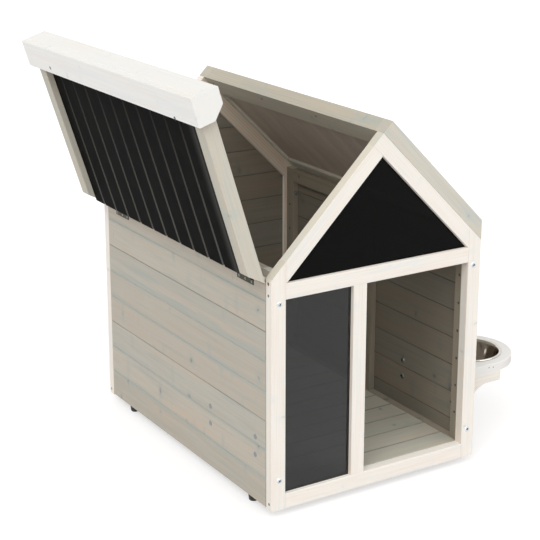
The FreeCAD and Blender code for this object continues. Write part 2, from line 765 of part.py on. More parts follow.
def stay_rivet():
    """The rivet that the bar turns on: its head in front of the bar, its tail in the verge."""
    x, z = stay_rivet_place()
    head_back = Vector(x, STAY_BAR_Y - 2 * RIVET_PLAY, z)
    head_front = head_back - Vector(0, RIVET_HEAD_H, 0)
    neck = rod(RIVET_R, head_front, Vector(x, DEPTH - VERGE_W + RIVET_TAIL, z))
    return neck.fuse(peg(RIVET_HEAD_R, head_front, head_back, HEAD_SIDES))


def stay_plate():
    """The steel plate on the lid's back verge, drawn up the slope and out of it."""
    up = rivet_up(STAY_RIVET_OUT)
    outline = [(up - PLATE_HALF, PLATE_TOP_OUT), (up - PLATE_HALF, PLATE_LOW_OUT)]
    outline += [(up - TAB_HALF, TAB_LOW_OUT), (up + TAB_HALF, TAB_LOW_OUT)]
    outline += [(up + PLATE_HALF, PLATE_LOW_OUT), (up + PLATE_HALF, PLATE_TOP_OUT)]
    plate = prism(left_slope(outline), "y", STAY_PLATE_Y, DEPTH - VERGE_W)
    return cut_all(plate, [stay_rivet()] + stay_plate_screws())


def stay_guide_screw():
    """Shoulder screw in the back rafter: its shoulder runs in the bar's slot under a flat head."""
    x, z = stay_screw_place()
    head_back = Vector(x, STAY_BAR_Y - STAY_SLOT_PLAY, z)
    head_front = head_back - Vector(0, STAY_SCREW_HEAD_H, 0)
    rafter_face = Vector(x, BACK_Y, z)
    shoulder = rod(STAY_SCREW_R, head_back, rafter_face)
    head = peg(STAY_SCREW_HEAD_R, head_front, head_back, HEAD_SIDES)
    thread = peg(STAY_THREAD_R, rafter_face, rafter_face + Vector(0, STAY_THREAD_LENGTH, 0))
    return shoulder.fuse(head).fuse(thread)


def stay_bar():
    """Slotted bar: round ends, a rivet hole and a slot whose far end stops the lid."""
    lid_x, lid_z = open_point(*stay_rivet_place())
    screw_x, screw_z = stay_screw_place()
    closed_x, closed_z = stay_rivet_place()
    open_length = math.hypot(screw_x - lid_x, screw_z - lid_z)
    closed_length = math.hypot(screw_x - closed_x, screw_z - closed_z)
    half = STAY_BAR_W / 2
    y_low = STAY_BAR_Y
    thick = Vector(0, STAY_BAR_T, 0)
    bar_end = open_length + STAY_BAR_END
    bar = block((0, bar_end), (y_low, y_low + STAY_BAR_T), (-half, half))
    for end in (0, bar_end):
        foot = Vector(end, y_low, 0)
        bar = bar.fuse(rod(half, foot, foot + thick))
    slot_r = STAY_SCREW_R + STAY_SLOT_PLAY
    slot = block((closed_length, open_length), (y_low, y_low + STAY_BAR_T), (-slot_r, slot_r))
    for end in (closed_length, open_length):
        foot = Vector(end, y_low, 0)
        slot = slot.fuse(rod(slot_r, foot, foot + thick))
    rivet_hole = rod(RIVET_R + RIVET_PLAY, Vector(0, y_low, 0), Vector(0, y_low, 0) + thick)
    bar = bar.cut(slot).cut(rivet_hole).removeSplitter()
    angle = math.degrees(math.atan2(screw_z - lid_z, screw_x - lid_x))
    bar.rotate(Vector(), Vector(0, 1, 0), -angle)
    bar.translate(Vector(lid_x, 0, lid_z))
    return bar


def holder_board():
    """A D-shaped shelf with a round hole for the bowl."""
    near = HOLDER_Y - HOLDER_R
    far = HOLDER_Y + HOLDER_R
    level = HOLDER_TOP - HOLDER_T
    sides = [
        Part.makeLine(Vector(HALF, near, level), Vector(HOLDER_REACH, near, level)),
        Part.Arc(
            Vector(HOLDER_REACH, near, level),
            Vector(HOLDER_REACH + HOLDER_R, HOLDER_Y, level),
            Vector(HOLDER_REACH, far, level),
        ).toShape(),
        Part.makeLine(Vector(HOLDER_REACH, far, level), Vector(HALF, far, level)),
        Part.makeLine(Vector(HALF, far, level), Vector(HALF, near, level)),
    ]
    board = Part.Face(Part.Wire(sides)).extrude(UP * HOLDER_T)
    clear_of_wall = [edge for edge in board.Edges if edge.BoundBox.XMax > HALF + HOLDER_BEVEL]
    rim = [edge for edge in clear_of_wall if edge.BoundBox.ZMin > HOLDER_TOP - HOLDER_BEVEL]
    board = board.makeChamfer(HOLDER_BEVEL, rim)
    centre = Vector(HOLDER_REACH, HOLDER_Y, level)
    return board.cut(rod(BOWL_HOLE_R, centre, centre + UP * HOLDER_T))


def bracket_outline(y_low):
    """A shelf bracket sawn to a quarter-round hollow under its nose."""
    top = HOLDER_TOP - HOLDER_T
    nose_low = top - BRACKET_NOSE
    arc_low = nose_low - BRACKET_ARC_R
    leg = BRACKET_NOTCH_X - BRACKET_ARC_R
    swing = BRACKET_ARC_R * DIAGONAL
    corners = [(leg, BRACKET_LOW), (HALF, BRACKET_LOW), (HALF, top), (BRACKET_REACH, top)]
    corners += [(BRACKET_REACH, nose_low), (BRACKET_NOTCH_X, nose_low)]
    lines = []
    for (x_a, z_a), (x_b, z_b) in zip(corners, corners[1:]):
        lines.append(Part.makeLine(Vector(x_a, y_low, z_a), Vector(x_b, y_low, z_b)))
    hollow = Part.Arc(
        Vector(BRACKET_NOTCH_X, y_low, nose_low),
        Vector(BRACKET_NOTCH_X - swing, y_low, arc_low + swing),
        Vector(leg, y_low, arc_low),
    ).toShape()
    heel = Part.makeLine(Vector(leg, y_low, arc_low), Vector(leg, y_low, BRACKET_LOW))
    return Part.Face(Part.Wire(lines + [hollow, heel]))


def bracket_bolt_places():
    low = HOLDER_Y - HOLDER_R + BRACKET_T / 2
    high = HOLDER_Y + HOLDER_R - BRACKET_T / 2
    return [(y, z) for y in (low, high) for z in BOLT_ROWS_Z]


def bracket_bolt(y, z):
    """A dome-headed bolt from inside the wall into the bracket's leg."""
    wall = Vector(WALL_IN, y, z)
    dome = turned(DOME_PROFILE, wall, Vector(-1, 0, 0), HEAD_SIDES)
    return dome.fuse(peg(DOME_BOLT_R, wall, wall + Vector(DOME_BOLT_LENGTH, 0, 0)))


def bowl_holder():
    bolts = [bracket_bolt(*place) for place in bracket_bolt_places()]
    brackets = []
    for y_low in (HOLDER_Y - HOLDER_R, HOLDER_Y + HOLDER_R - BRACKET_T):
        brackets.append(cut_all(bracket_outline(y_low).extrude(Vector(0, BRACKET_T, 0)), bolts))
    return {
        "bowl_holder_board": holder_board(),
        "bowl_brackets": Part.makeCompound(brackets),
        "bracket_bolts": Part.makeCompound(bolts),
    }


def food_bowl():
    """A spun steel bowl: flat floor, bent corner, tapered side and a rim that rests on the shelf."""
    bend = BOWL_BEND_H - BOWL_DEPTH
    inside = [(BOWL_FLOOR_R, BOWL_T - BOWL_DEPTH), (BOWL_BEND_R - BOWL_T, bend)]
    inside.append((BOWL_MOUTH_R, BOWL_RIM_H - BOWL_RIM_EDGE))
    rim = [(BOWL_MOUTH_R + BOWL_RIM_EDGE, BOWL_RIM_H), (BOWL_RIM_R - BOWL_RIM_EDGE, BOWL_RIM_H)]
    rim += [(BOWL_RIM_R, BOWL_RIM_H - BOWL_RIM_EDGE), (BOWL_RIM_R, 0)]
    outside = [(BOWL_MOUTH_R + BOWL_T, 0), (BOWL_BEND_R, bend), (BOWL_FLOOR_R, -BOWL_DEPTH)]
    seat = Vector(HOLDER_REACH, HOLDER_Y, HOLDER_TOP + BOWL_SEAT_PLAY)
    return turned(inside + rim + outside, seat, UP, BOWL_SIDES)


def wall_plug(y, z):
    """A plastic cap over one of the bolt holes that the left wall has for the holder's other place."""
    face = Vector(-HALF, y, z)
    cap = turned(PLUG_PROFILE, face, Vector(-1, 0, 0), HEAD_SIDES)
    return cap.fuse(peg(PLUG_R, face, face + Vector(PLUG_LENGTH, 0, 0)))


def build():
    nodes = {}
    nodes.update(front_frame())
    nodes.update(back_frame())
    guide_screw = stay_guide_screw()
    nodes["back_rafter_left"] = nodes["back_rafter_left"].cut(guide_screw)
    hinge_parts = hinges()
    plugs = [wall_plug(*place) for place in bracket_bolt_places()]
    holder = bowl_holder()
    left_holes = plugs + hinge_parts["hinge_wall_screws"].Solids
    nodes["left_wall_boards"] = wall_boards(-1, WALL_TOP_LEFT, left_holes)
    nodes["right_wall_boards"] = wall_boards(1, WALL_TOP_RIGHT, holder["bracket_bolts"].Solids)
    for side, name in ((-1, "left"), (1, "right")):
        nodes[name + "_wall_stiles"] = wall_stiles(side)
        nodes[name + "_wall_top_rail"] = wall_top_rail(side)
        nodes[name + "_wall_bottom_rail"] = wall_bottom_rail(side)
    nodes.update(floor())
    nodes["feet"] = Part.makeCompound([foot(*place) for place in foot_places()])
    nodes["foot_screws"] = Part.makeCompound([foot_screw(*place) for place in foot_places()])
    nodes.update(frame_fasteners())
    nodes.update(fixed_roof())
    nodes.update(lid_panel())
    nodes.update(ridge_cap())
    nodes.update(hinge_parts)
    nodes["stay_plate"] = swing_open(stay_plate())
    nodes["stay_plate_screws"] = swing_open(Part.makeCompound(stay_plate_screws()))
    nodes["stay_rivet"] = swing_open(stay_rivet())
    nodes["stay_guide_screw"] = guide_screw
    nodes["stay_bar"] = stay_bar()
    nodes.update(holder)
    nodes["food_bowl"] = food_bowl()
    nodes["wall_plugs"] = Part.makeCompound(plugs)
    return nodes


def base_point():
    """The origin: on the ground, in the middle of the whole object with its lid open."""
    (cap_x, cap_z), = left_slope([cap_corners()])
    left_reach = open_point(cap_x, cap_z)[0]
    right_reach = HOLDER_REACH + HOLDER_R
    return Vector((left_reach + right_reach) / 2, DEPTH / 2, -FOOT_H)


os.makedirs("parts", exist_ok=True)
origin = base_point()
print("origin in the house's own measures", round(origin.x, 3), round(origin.y, 3), round(origin.z, 3))
for node, shape in build().items():
    placed = shape.copy()
    placed.translate(origin * -1)
    placed.exportStep("parts/" + node + ".step")
    print(node, len(placed.Solids), round(placed.Volume / 1000, 1), "cm3", placed.isValid())
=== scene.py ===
# %% [markdown]
# # A dog kennel with a lifting roof
# This lesson gives a kennel of washed fir its real look. The shape of every timber already
# exists as a fixed CAD model, so the work here is light, camera, finishes and small parts.
# Each step says what a thing is on the real kennel and how Blender can show it.
# The CAD model is loaded first, because everything else is placed by it.

# %% Load the fixed model
import math

import bmesh
import bpy
from mathutils import Matrix, Vector


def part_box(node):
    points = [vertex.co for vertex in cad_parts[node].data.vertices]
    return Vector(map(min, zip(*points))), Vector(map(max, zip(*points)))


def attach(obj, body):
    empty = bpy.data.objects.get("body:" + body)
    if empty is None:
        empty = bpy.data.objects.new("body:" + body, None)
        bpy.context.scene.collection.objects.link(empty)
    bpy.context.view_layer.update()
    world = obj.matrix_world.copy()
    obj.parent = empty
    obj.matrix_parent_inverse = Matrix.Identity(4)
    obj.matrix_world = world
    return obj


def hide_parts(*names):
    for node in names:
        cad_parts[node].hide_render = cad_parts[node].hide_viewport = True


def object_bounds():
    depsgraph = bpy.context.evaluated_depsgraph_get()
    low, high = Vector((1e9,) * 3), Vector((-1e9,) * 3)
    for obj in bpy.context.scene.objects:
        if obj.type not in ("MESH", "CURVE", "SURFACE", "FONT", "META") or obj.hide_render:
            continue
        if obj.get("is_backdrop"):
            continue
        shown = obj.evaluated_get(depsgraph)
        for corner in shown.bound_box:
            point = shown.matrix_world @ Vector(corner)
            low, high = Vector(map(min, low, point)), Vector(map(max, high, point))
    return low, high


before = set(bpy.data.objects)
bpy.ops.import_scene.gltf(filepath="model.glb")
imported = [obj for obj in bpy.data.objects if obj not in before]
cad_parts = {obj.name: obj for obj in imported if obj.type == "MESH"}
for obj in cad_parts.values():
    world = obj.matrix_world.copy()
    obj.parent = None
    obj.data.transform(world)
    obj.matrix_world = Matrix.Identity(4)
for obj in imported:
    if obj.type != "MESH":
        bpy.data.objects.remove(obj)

scene = bpy.context.scene
cad_low, cad_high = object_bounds()
print("CAD box, metres:", [round(side, 4) for side in cad_high - cad_low])

# %% [markdown]
# A carpenter measures the kennel from the middle of its front face, at the underside of the
# posts, and in millimetres. Blender works in metres from the middle of the whole model.
# One small function turns the first into the second. Its zero comes from the box of the left
# front post, whose outer corner is half the kennel's width from the middle.

# %% The carpenter's measures
MM = 0.001
HALF = 300.0
DEPTH = 858.0
EAVE_Z = 570.0
LID_DEGREES = 62.5

post_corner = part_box("front_post_left")[0]
HOUSE_ZERO = Vector(post_corner) + Vector((HALF, 0.0, 0.0)) * MM


def house(x, y, z):
    """A point in the carpenter's millimetres, in metres and in the model's place."""
    return HOUSE_ZERO + Vector((x, y, z)) * MM


print("house zero:", [round(value, 4) for value in HOUSE_ZERO])

# %% [markdown]
# Camera and lamps are placed alike: so many degrees to the right of the front, so many up, and
# so far out. One function gives the direction, and a second hangs a thing out there and aims it
# back.

# %% Directions


def direction(turn, rise):
    """The way out from the kennel, so many degrees to the right of its front and upward."""
    turn, rise = math.radians(turn), math.radians(rise)
    return Vector((math.sin(turn) * math.cos(rise), -math.cos(turn) * math.cos(rise), math.sin(rise)))


def hang(name, data, target, away, distance_mm):
    """Hangs a camera or a lamp that far out from its target and aims it back."""
    thing = bpy.data.objects.new(name, data)
    scene.collection.objects.link(thing)
    thing.location = target + away * (distance_mm * MM)
    thing.rotation_mode = "QUATERNION"
    thing.rotation_quaternion = (-away).to_track_quat("-Z", "Y")
    return thing


# %% [markdown]
# The kennel is seen from the front left and from a little above, through a long lens, so the
# upright timbers stay almost parallel. The camera aims at a point above the hinge line of the
# lid. From there the lens shift moves the picture down, instead of a further tilt.

# %% Camera
LENS_MM = 97.63
LENS_SHIFT = -0.0741
VIEW = direction(turn=-31.83, rise=16.356)
VIEW_DISTANCE_MM = 3221.6
LOOK_AT = house(-304.4, 0.0, 688.3)

lens = bpy.data.cameras.new("studio_camera")
lens.lens = LENS_MM
lens.shift_y = LENS_SHIFT
scene.camera = hang("studio_camera", lens, LOOK_AT, VIEW, VIEW_DISTANCE_MM)
print("camera at", [round(value, 3) for value in scene.camera.location])

# %% [markdown]
# Two helpers serve every finish. A colour is written as the hex value that a paint chart or a
# picture gives, and Blender wants it as linear light. A node is added together with its
# settings and its links, so that a pattern reads from top to bottom like a recipe.

# %% Helpers for colours and nodes


def colour(code):
    """A hex colour such as #d8d2c6 as linear red, green, blue and full alpha."""
    parts = [int(code[place:place + 2], 16) / 255 for place in (1, 3, 5)]
    linear = [part / 12.92 if part <= 0.04045 else ((part + 0.055) / 1.055) ** 2.4 for part in parts]
    return (*linear, 1.0)


def add(tree, kind, inputs=(), **settings):
    """Adds a node. A shader node needs no prefix, and an operation may stand behind the kind.

    Inputs come by name or in order: nodes and sockets are linked, the rest is set.
    """
    kind, *operation = kind.split()
    node = tree.nodes.new(kind if "Node" in kind else "ShaderNode" + kind)
    if operation:
        node.operation = operation[0]
    for name, value in settings.items():
        setattr(node, name, value)
    by_name = {socket.name: socket for socket in reversed(node.inputs)}
    by_name.update({socket.identifier: socket for socket in node.inputs})
    if not isinstance(inputs, dict):
        inputs = dict(zip([socket.identifier for socket in node.inputs], inputs))
    for name, value in inputs.items():
        for source in value if isinstance(value, list) else [value]:
            if isinstance(source, bpy.types.Node):
                source = next(output for output in source.outputs if output.enabled)
            if isinstance(source, bpy.types.NodeSocket):
                tree.links.new(source, by_name[name])
            else:
                by_name[name].default_value = source
    return node


WHITE = colour("#ffffff")
print("white in linear light:", WHITE)

# %% [markdown]
# The kennel stands in a plain white studio. Soft light comes from everywhere at a middle level.
# What the camera, a mirror or a clear pane sees behind the kennel is white. That white is only
# a backdrop: it adds no light to the timber.

# %% A white surround
SKY_LEVEL = 0.595
BACKDROP_LEVEL = 1.0


def seen_directly(tree):
    """1 for what the camera, a mirror or a clear pane looks at, and 0 for what lights the kennel."""
    ray = add(tree, "LightPath").outputs
    seen = add(tree, "Math MAXIMUM", [ray["Is Camera Ray"], ray["Is Glossy Ray"]])
    return add(tree, "Math MAXIMUM", [seen, ray["Is Transmission Ray"]])


scene.world = bpy.data.worlds.new("white_studio")
scene.world.use_nodes = True
tree = scene.world.node_tree
tree.nodes.clear()
level = add(tree, "MapRange", {"Value": seen_directly(tree), "To Min": SKY_LEVEL, "To Max": BACKDROP_LEVEL})
surround = add(tree, "Background", {"Color": WHITE, "Strength": level})
add(tree, "OutputWorld", {"Surface": surround})
print("light from all round:", SKY_LEVEL)

# %% [markdown]
# A wide lamp at the front left and a weaker one at the right give the faces their slight
# difference. A third stands low at the left and lightens what leans outward there, and a fourth,
# small and bright, makes the sparkle on steel and zinc. All are sun lamps, as strong far away as
# near by, so the paper floor stays evenly white. The table gives turn, rise, share of full light
# and spread in degrees. A white surface that faces a share of 1 renders white.

# %% Softboxes
LAMP_DISTANCE_MM = 3000.0
softboxes = {
    "key_softbox": (-46.0, 41.0, 0.46, 50.0),
    "fill_softbox": (34.0, 35.0, 0.22, 50.0),
    "low_softbox": (-84.0, 4.0, 0.15, 60.0),
    "small_bright_lamp": (-58.0, 52.0, 0.04, 9.0),
}
for name, (turn, rise, share, spread) in softboxes.items():
    lamp = bpy.data.lights.new(name, "SUN")
    lamp.energy = share * math.pi
    lamp.angle = math.radians(spread)
    hang(name, lamp, house(0.0, DEPTH / 2, EAVE_Z), direction(turn, rise), LAMP_DISTANCE_MM)
    print(name, "strength", round(lamp.energy, 2))

# %% [markdown]
# The floor is a wide sheet of pale studio paper. It must keep the soft shadow around the feet
# and still fade into the white surround, so for the camera and for mirrors a glow is added to
# the paper's own light grey. The glow lights nothing, and so the foot of the walls, which sees
# mostly floor, stays a little darker than the top.

# %% Paper floor
FLOOR_REACH = 9.0
PAPER_GLOW = 0.56

paper = bpy.data.materials.new("white_studio_paper")
paper.use_nodes = True
tree = paper.node_tree
tree.nodes.clear()
glow = add(tree, "Math MULTIPLY", [seen_directly(tree), PAPER_GLOW])
both = add(tree, "AddShader", [
    add(tree, "BsdfDiffuse", {"Color": colour("#c3c2c1")}),
    add(tree, "Emission", {"Color": WHITE, "Strength": glow}),
])
add(tree, "OutputMaterial", {"Surface": both})

floor_mesh = bpy.data.meshes.new("studio_floor")
corners = [(x * FLOOR_REACH, y * FLOOR_REACH, 0) for x, y in ((-1, -1), (1, -1), (1, 1), (-1, 1))]
floor_mesh.from_pydata(corners, [], [(0, 1, 2, 3)])
floor_mesh.materials.append(paper)
studio_floor = bpy.data.objects.new("studio_floor", floor_mesh)
scene.collection.objects.link(studio_floor)
studio_floor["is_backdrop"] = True
scene.view_settings.view_transform = "Standard"
print("paper floor,", 2 * FLOOR_REACH, "metres wide")

# %% [markdown]
# Most of the kennel is planed fir under a thin wash of thinned paint. The wash leaves the grain
# to be seen: fine fibre lines, wider growth rings, small knots, bluish patches where the paint
# lies thicker and rosy streaks where the wood shows through. An image of wood would repeat and
# would not follow the timbers, so the pattern is worked out from noise that is stretched along
# the grain. A mapping of the texture kind turns a point into the grain's own direction and
# divides it by real sizes, here the length and the width of a mark on the wood.

# %% Ways of the grain and of faces


def sloping(degrees):
    """Grain that climbs to the right by that angle from level."""
    return (0.0, math.radians(-degrees), 0.0)


ACROSS = (0.0, 0.0, 0.0)
UPRIGHT = sloping(90.0)
LENGTHWISE = (0.0, 0.0, math.radians(90.0))
LEFT_SLOPE = sloping(45.0)
RIGHT_SLOPE = sloping(135.0)
OPEN_LID_SLOPE = sloping(45.0 + LID_DEGREES)

INTO_LEFT = (-1.0, 0.0, 0.0)
INTO_RIGHT = (1.0, 0.0, 0.0)
INTO_FRONT = (0.0, -1.0, 0.0)
LEFT_OR_FRONT = (-0.8, -0.6, 0.0)
RIGHT_OR_FRONT = (0.8, -0.6, 0.0)
LEFT_OR_UP = (-0.8, 0.0, 0.6)
RIGHT_OR_UP = (0.8, 0.0, 0.6)
UP_LEFT = (-0.35, 0.0, 0.94)
UP_AND_FRONT = (-0.2, -0.47, 0.86)


def along_grain(tree, place, turn, marks):
    """For each kind of mark, coordinates that run with the grain, in marks of its size."""
    return {name: add(tree, "Mapping", {
        "Vector": place, "Rotation": turn, "Scale": (length * MM, width * MM, width * MM),
    }, vector_type="TEXTURE") for name, (length, width) in marks.items()}


# %% [markdown]
# A finish is built up like paint, in layers. Each layer is a pattern, the two values between
# which it comes in, its strength, and its colour. One loop turns the list into nodes, so that a
# finish can be read as a table.

# %% Layers of colour


def paint_layers(tree, ground, layers):
    """Lays colours over a ground, each where its pattern runs from the first value to the second."""
    surface = ground
    for pattern, start, full, strength, tone in layers:
        share = add(tree, "MapRange", {
            "Value": pattern, "From Min": start, "From Max": full, "To Max": strength,
        }, interpolation_type="SMOOTHSTEP")
        surface = add(tree, "Mix", {
            "Factor_Float": share, "A_Color": surface, "B_Color": tone,
        }, data_type="RGBA")
    return surface


def new_finish(name):
    """A material with an empty tree, and where its points lie on the object."""
    material = bpy.data.materials.new(name)
    material.use_nodes = True
    material.node_tree.nodes.clear()
    return material, material.node_tree, add(material.node_tree, "TexCoord").outputs


def close_finish(tree, looks):
    """The last nodes of every finish: a shader with these looks, and the output."""
    shader = add(tree, "BsdfPrincipled", looks)
    add(tree, "OutputMaterial", {"Surface": shader})


# %% [markdown]
# Boards cut from different trunks differ, so every board gets its own patch of the pattern and
# its own tint. The number of a board is how many board widths it lies from the first joint.
# A joint that opened a little as the wood dried shows as a thin dark line. On the outside of
# the side walls that is every third one. In the others the paint has run into the V and left a
# soft bluish band, here more and there less. Inside, where the paint was wiped on, and on the
# floor, every joint is dark. A joint's values are its axis, the first joint, the board width, how
# many it is to the next open one, the width of the dark line, and how strongly the boards differ.
# Those of the floor came from one trunk and hardly do.

# %% Boards and their joints
WALL_JOINT = ("Z", 75.0, 73.0, 3, 2.2, 0.3)
BACK_JOINT = ("Z", 60.0, 73.0, 1, 2.2, 0.3)
FLOOR_JOINT = ("Y", 88.0, 71.0, 1, 5.0, 0.05)
SOFT_BAND_MM = 12.0


def board_rows(tree, place, joint):
    """How many board widths a point lies from the first joint of its wall."""
    axis, first, pitch = joint[:3]
    zero = HOUSE_ZERO["XYZ".index(axis)] + first * MM
    reach = add(tree, "SeparateXYZ", {"Vector": place}).outputs[axis]
    offset = add(tree, "Math SUBTRACT", [reach, zero])
    return add(tree, "Math DIVIDE", [offset, pitch * MM])


def joint_layers(tree, rows, joint, inner, patches, soft_tone, dark_tone):
    """The soft bands of the closed joints and the dark lines of the open ones."""
    pitch, open_every, line_mm = joint[2:5]
    nearest = add(tree, "Math ROUND", [rows])
    beside = add(tree, "Math SUBTRACT", [rows, nearest])
    away = add(tree, "Math ABSOLUTE", [beside])
    count = add(tree, "Math ADD", [nearest, 1.0])
    count = add(tree, "Math FLOORED_MODULO", [count, open_every])
    opened = add(tree, "Math COMPARE", [count, 0.0, 0.5])
    opened = add(tree, "Math MAXIMUM", [opened, inner])
    closed = add(tree, "Math SUBTRACT", [1.0, opened])
    filled, bare = (add(tree, "MapRange", {
        "Value": patches, "From Min": 0.35, "From Max": 0.65, "To Min": least, "To Max": most,
    }) for least, most in ((0.2, 1.0), (0.75, 0.4)))
    soft = add(tree, "Math MULTIPLY", [closed, filled])
    dark = add(tree, "Math MULTIPLY_ADD", [opened, bare, 0.1])
    return [
        (away, SOFT_BAND_MM / pitch, 0.0, soft, soft_tone),
        (away, line_mm / pitch, 0.0, dark, dark_tone),
    ]


# %% [markdown]
# Knots come in two kinds and in all sizes. Round ones are branches cut across, and dark spikes
# that lie across the grain are branches cut along. Each sits in a cell of a pattern that is
# bent a little by noise, so that no outline is a plain circle.

# %% Knots
KNOT_CELLS_MM = {"round": (80.0, 80.0), "spike": (45.0, 110.0)}
KNOT_REACH = {"round": 0.13, "spike": 0.18}
BEND_SCALE = 90.0
BEND = (0.010, 0.010, 0.010)


def knot_layers(tree, place, turn, ring_tone, heart_tone):
    """A soft ring and a dark heart for every knot."""
    noise = add(tree, "TexNoise", {"Vector": place, "Scale": BEND_SCALE, "Detail": 1.0})
    bent = add(tree, "VectorMath MULTIPLY_ADD", [noise.outputs["Color"], BEND, place])
    knots = along_grain(tree, bent, turn, KNOT_CELLS_MM)
    layers = []
    for kind, reach in KNOT_REACH.items():
        cell = add(tree, "TexVoronoi", {"Vector": knots[kind], "Scale": 1.0}).outputs
        size = add(tree, "SeparateColor", {"Color": cell["Color"]}).outputs["Red"]
        spots = add(tree, "Math DIVIDE", [cell["Distance"], size])
        layers.append((spots, reach * 2.5, reach, 0.4, ring_tone))
        layers.append((spots, reach, reach * 0.2, 0.45, heart_tone))
    return layers


# %% [markdown]
# The washed fir itself. Colours go on in the order in which they reach the wood: the pale
# timber, darker fibre lines and rings, rosy streaks, the bluish wash, the joints, knots last.
# Where a wall's boards meet the front post, a narrow dark line is painted there as the shadow of the gap
# between them. The surface is dull and slightly rough, because thinned paint raises the fibres.
#
# Faces that look into the kennel are darker and browner: a brownish stain is multiplied over the same grain
# there, and the face's own direction says on which side it is. The back rafters also show the fine grooves
# of the planer. A wave texture turns by 20 for each unit, so its scale has that divided out.

# %% Washed fir
FIR_MARKS_MM = {
    "fibres": (150.0, 2.4), "rings": (420.0, 13.0), "streaks": (300.0, 18.0), "planed": (900.0, 7.0),
}
WAVE_TURNS = 20.0
FIBRE_RELIEF_MM = 0.25
OTHER_TRUNK = (3.0, 3.0, 3.0)
STAIN_STARTS = 0.3
STAIN_FULL = 0.65
POST_DEPTH = 25.0
SHADOW_GAP_MM = 2.5


def washed_fir(name, tones, turn, inside=None, joint=None):
    """Planed fir under thinned paint: timber, line, rosy streak, bluish wash and knot tones."""
    timber, line, rosy, bluish, knot = (colour(code) for code in tones)
    material, tree, where = new_finish(name)
    place = where["Object"]
    inner = 0.0
    if inside:
        way, stain = inside
        facing = add(tree, "VectorMath DOT_PRODUCT", [where["Normal"], way])
        inner = add(tree, "MapRange", {
            "Value": facing.outputs["Value"], "From Min": STAIN_STARTS, "From Max": STAIN_FULL,
        })
    board_layers = []
    if joint:
        rows = board_rows(tree, place, joint)
        board = add(tree, "Math FLOOR", [rows])
        chance = add(tree, "TexWhiteNoise", {"W": board}, noise_dimensions="1D").outputs["Color"]
        # Painted shadow: a narrow dark line where the boards meet the front post.
        if turn == LENGTHWISE:
            depth = add(tree, "SeparateXYZ", {"Vector": place}).outputs["Y"]
            shadow_gap_start = HOUSE_ZERO.y + POST_DEPTH * MM
            board_layers.append((depth, shadow_gap_start + SHADOW_GAP_MM * MM, shadow_gap_start, 0.9, knot))
        place = add(tree, "VectorMath MULTIPLY_ADD", [chance, OTHER_TRUNK, place])
        tint = add(tree, "SeparateColor", {"Color": chance}).outputs
        for channel, tone in {"Red": rosy, "Green": bluish, "Blue": line}.items():
            board_layers.append((tint[channel], 0.3, 1.0, joint[-1], tone))

    grain = along_grain(tree, place, turn, FIR_MARKS_MM)
    fibres = add(tree, "TexNoise", {"Vector": grain["fibres"], "Scale": 1.0, "Detail": 2.0}).outputs["Fac"]
    rings = add(tree, "TexWave", {
        "Vector": grain["rings"], "Scale": 1.0, "Distortion": 5.0, "Detail": 2.0, "Detail Scale": 0.9,
    }, bands_direction="Y").outputs["Fac"]
    streaks = add(tree, "TexNoise", {
        "Vector": grain["streaks"], "Scale": 1.0, "Detail": 4.0, "Roughness": 0.6,
    }).outputs["Color"]
    streaks = add(tree, "SeparateColor", {"Color": streaks}).outputs
    layers = [
        (fibres, 0.42, 0.75, 0.5, line),
        (rings, 0.40, 1.0, 0.45, line),
        (streaks["Red"], 0.50, 0.70, 0.7, rosy),
        (streaks["Green"], 0.52, 0.72, 0.8, bluish),
    ] + board_layers
    if joint:
        layers += joint_layers(tree, rows, joint, inner, streaks["Blue"], bluish, knot)
    if inside and way == INTO_FRONT and turn in (LEFT_SLOPE, RIGHT_SLOPE):
        planed = add(tree, "TexWave", {
            "Vector": grain["planed"], "Scale": math.tau / WAVE_TURNS, "Distortion": 0.2,
        }, bands_direction="Z").outputs["Fac"]
        layers.append((planed, 0.7, 1.0, 0.45, knot))
    layers += knot_layers(tree, place, turn, bluish, knot)

    surface = paint_layers(tree, timber, layers)
    if inside:
        surface = add(tree, "Mix", {
            "Factor_Float": inner, "A_Color": surface, "B_Color": colour(stain),
        }, data_type="RGBA", blend_type="MULTIPLY")
    relief = add(tree, "Bump", {"Height": fibres, "Strength": 0.5, "Distance": FIBRE_RELIEF_MM * MM})
    rough = add(tree, "MapRange", {"Value": fibres, "To Min": 0.55, "To Max": 0.78})
    close_finish(tree, {
        "Base Color": surface, "Roughness": rough, "Normal": relief, "Specular IOR Level": 0.3,
    })
    return material


# %% [markdown]
# Both gable frames are washed white, and the walls grey. The floor has a grey of its own. The
# roof timbers, which dry in the sun, are a paler grey, a little deeper on the rails and the lid.
# The ridge cap and the feeding shelf are almost covered with white paint, the cap with the brightest, which
# is painted light for its sides that face away from the lamps. A wash gives the tones of timber, line, rosy
# streak, bluish wash and knot.
#
# The stains serve more than the inside. One darkens the seats that the lid rubs on. One is painted shade on
# the sides of doorway and window that look left, into the doorway's shade, and two are painted shade on the
# upper sides of ridge and cap, where the lamps fall most.
# Each line of the plan names a finish, the way of its grain and its timbers, then the side that
# a stain lies on with the stain, and the joints.

# %% The washes on the timbers
WHITE_WASH = ("#f5efe7", "#e9e1d5", "#f4e5d8", "#e9eae6", "#d0bca9")
GREY_WASH = ("#c1bbaf", "#afa89b", "#cab8a5", "#a9aea9", "#65655e")
FLOOR_WASH = ("#bfbcae", "#b0aa9a", "#c3b5a2", "#adb3aa", "#66665d")
PALE_GREY_WASH = ("#d2cec2", "#c3bdaf", "#d6c9b8", "#bfc7c4", "#a39c8f")
LID_GREY_WASH = ("#cdc8ba", "#bfb9ab", "#d5c6b3", "#bac2bd", "#a59e90")
COVERING_WHITE = ("#f0eeeb", "#eceae6", "#eee8e2", "#e9ebeb", "#d3cec5")
# The cap's brighter white is painted light for its sides, which face away from the lamps.
CAP_WHITE = ("#fbfaf7", "#f7f5f1", "#f9f4ee", "#f4f6f6", "#dfdad1")

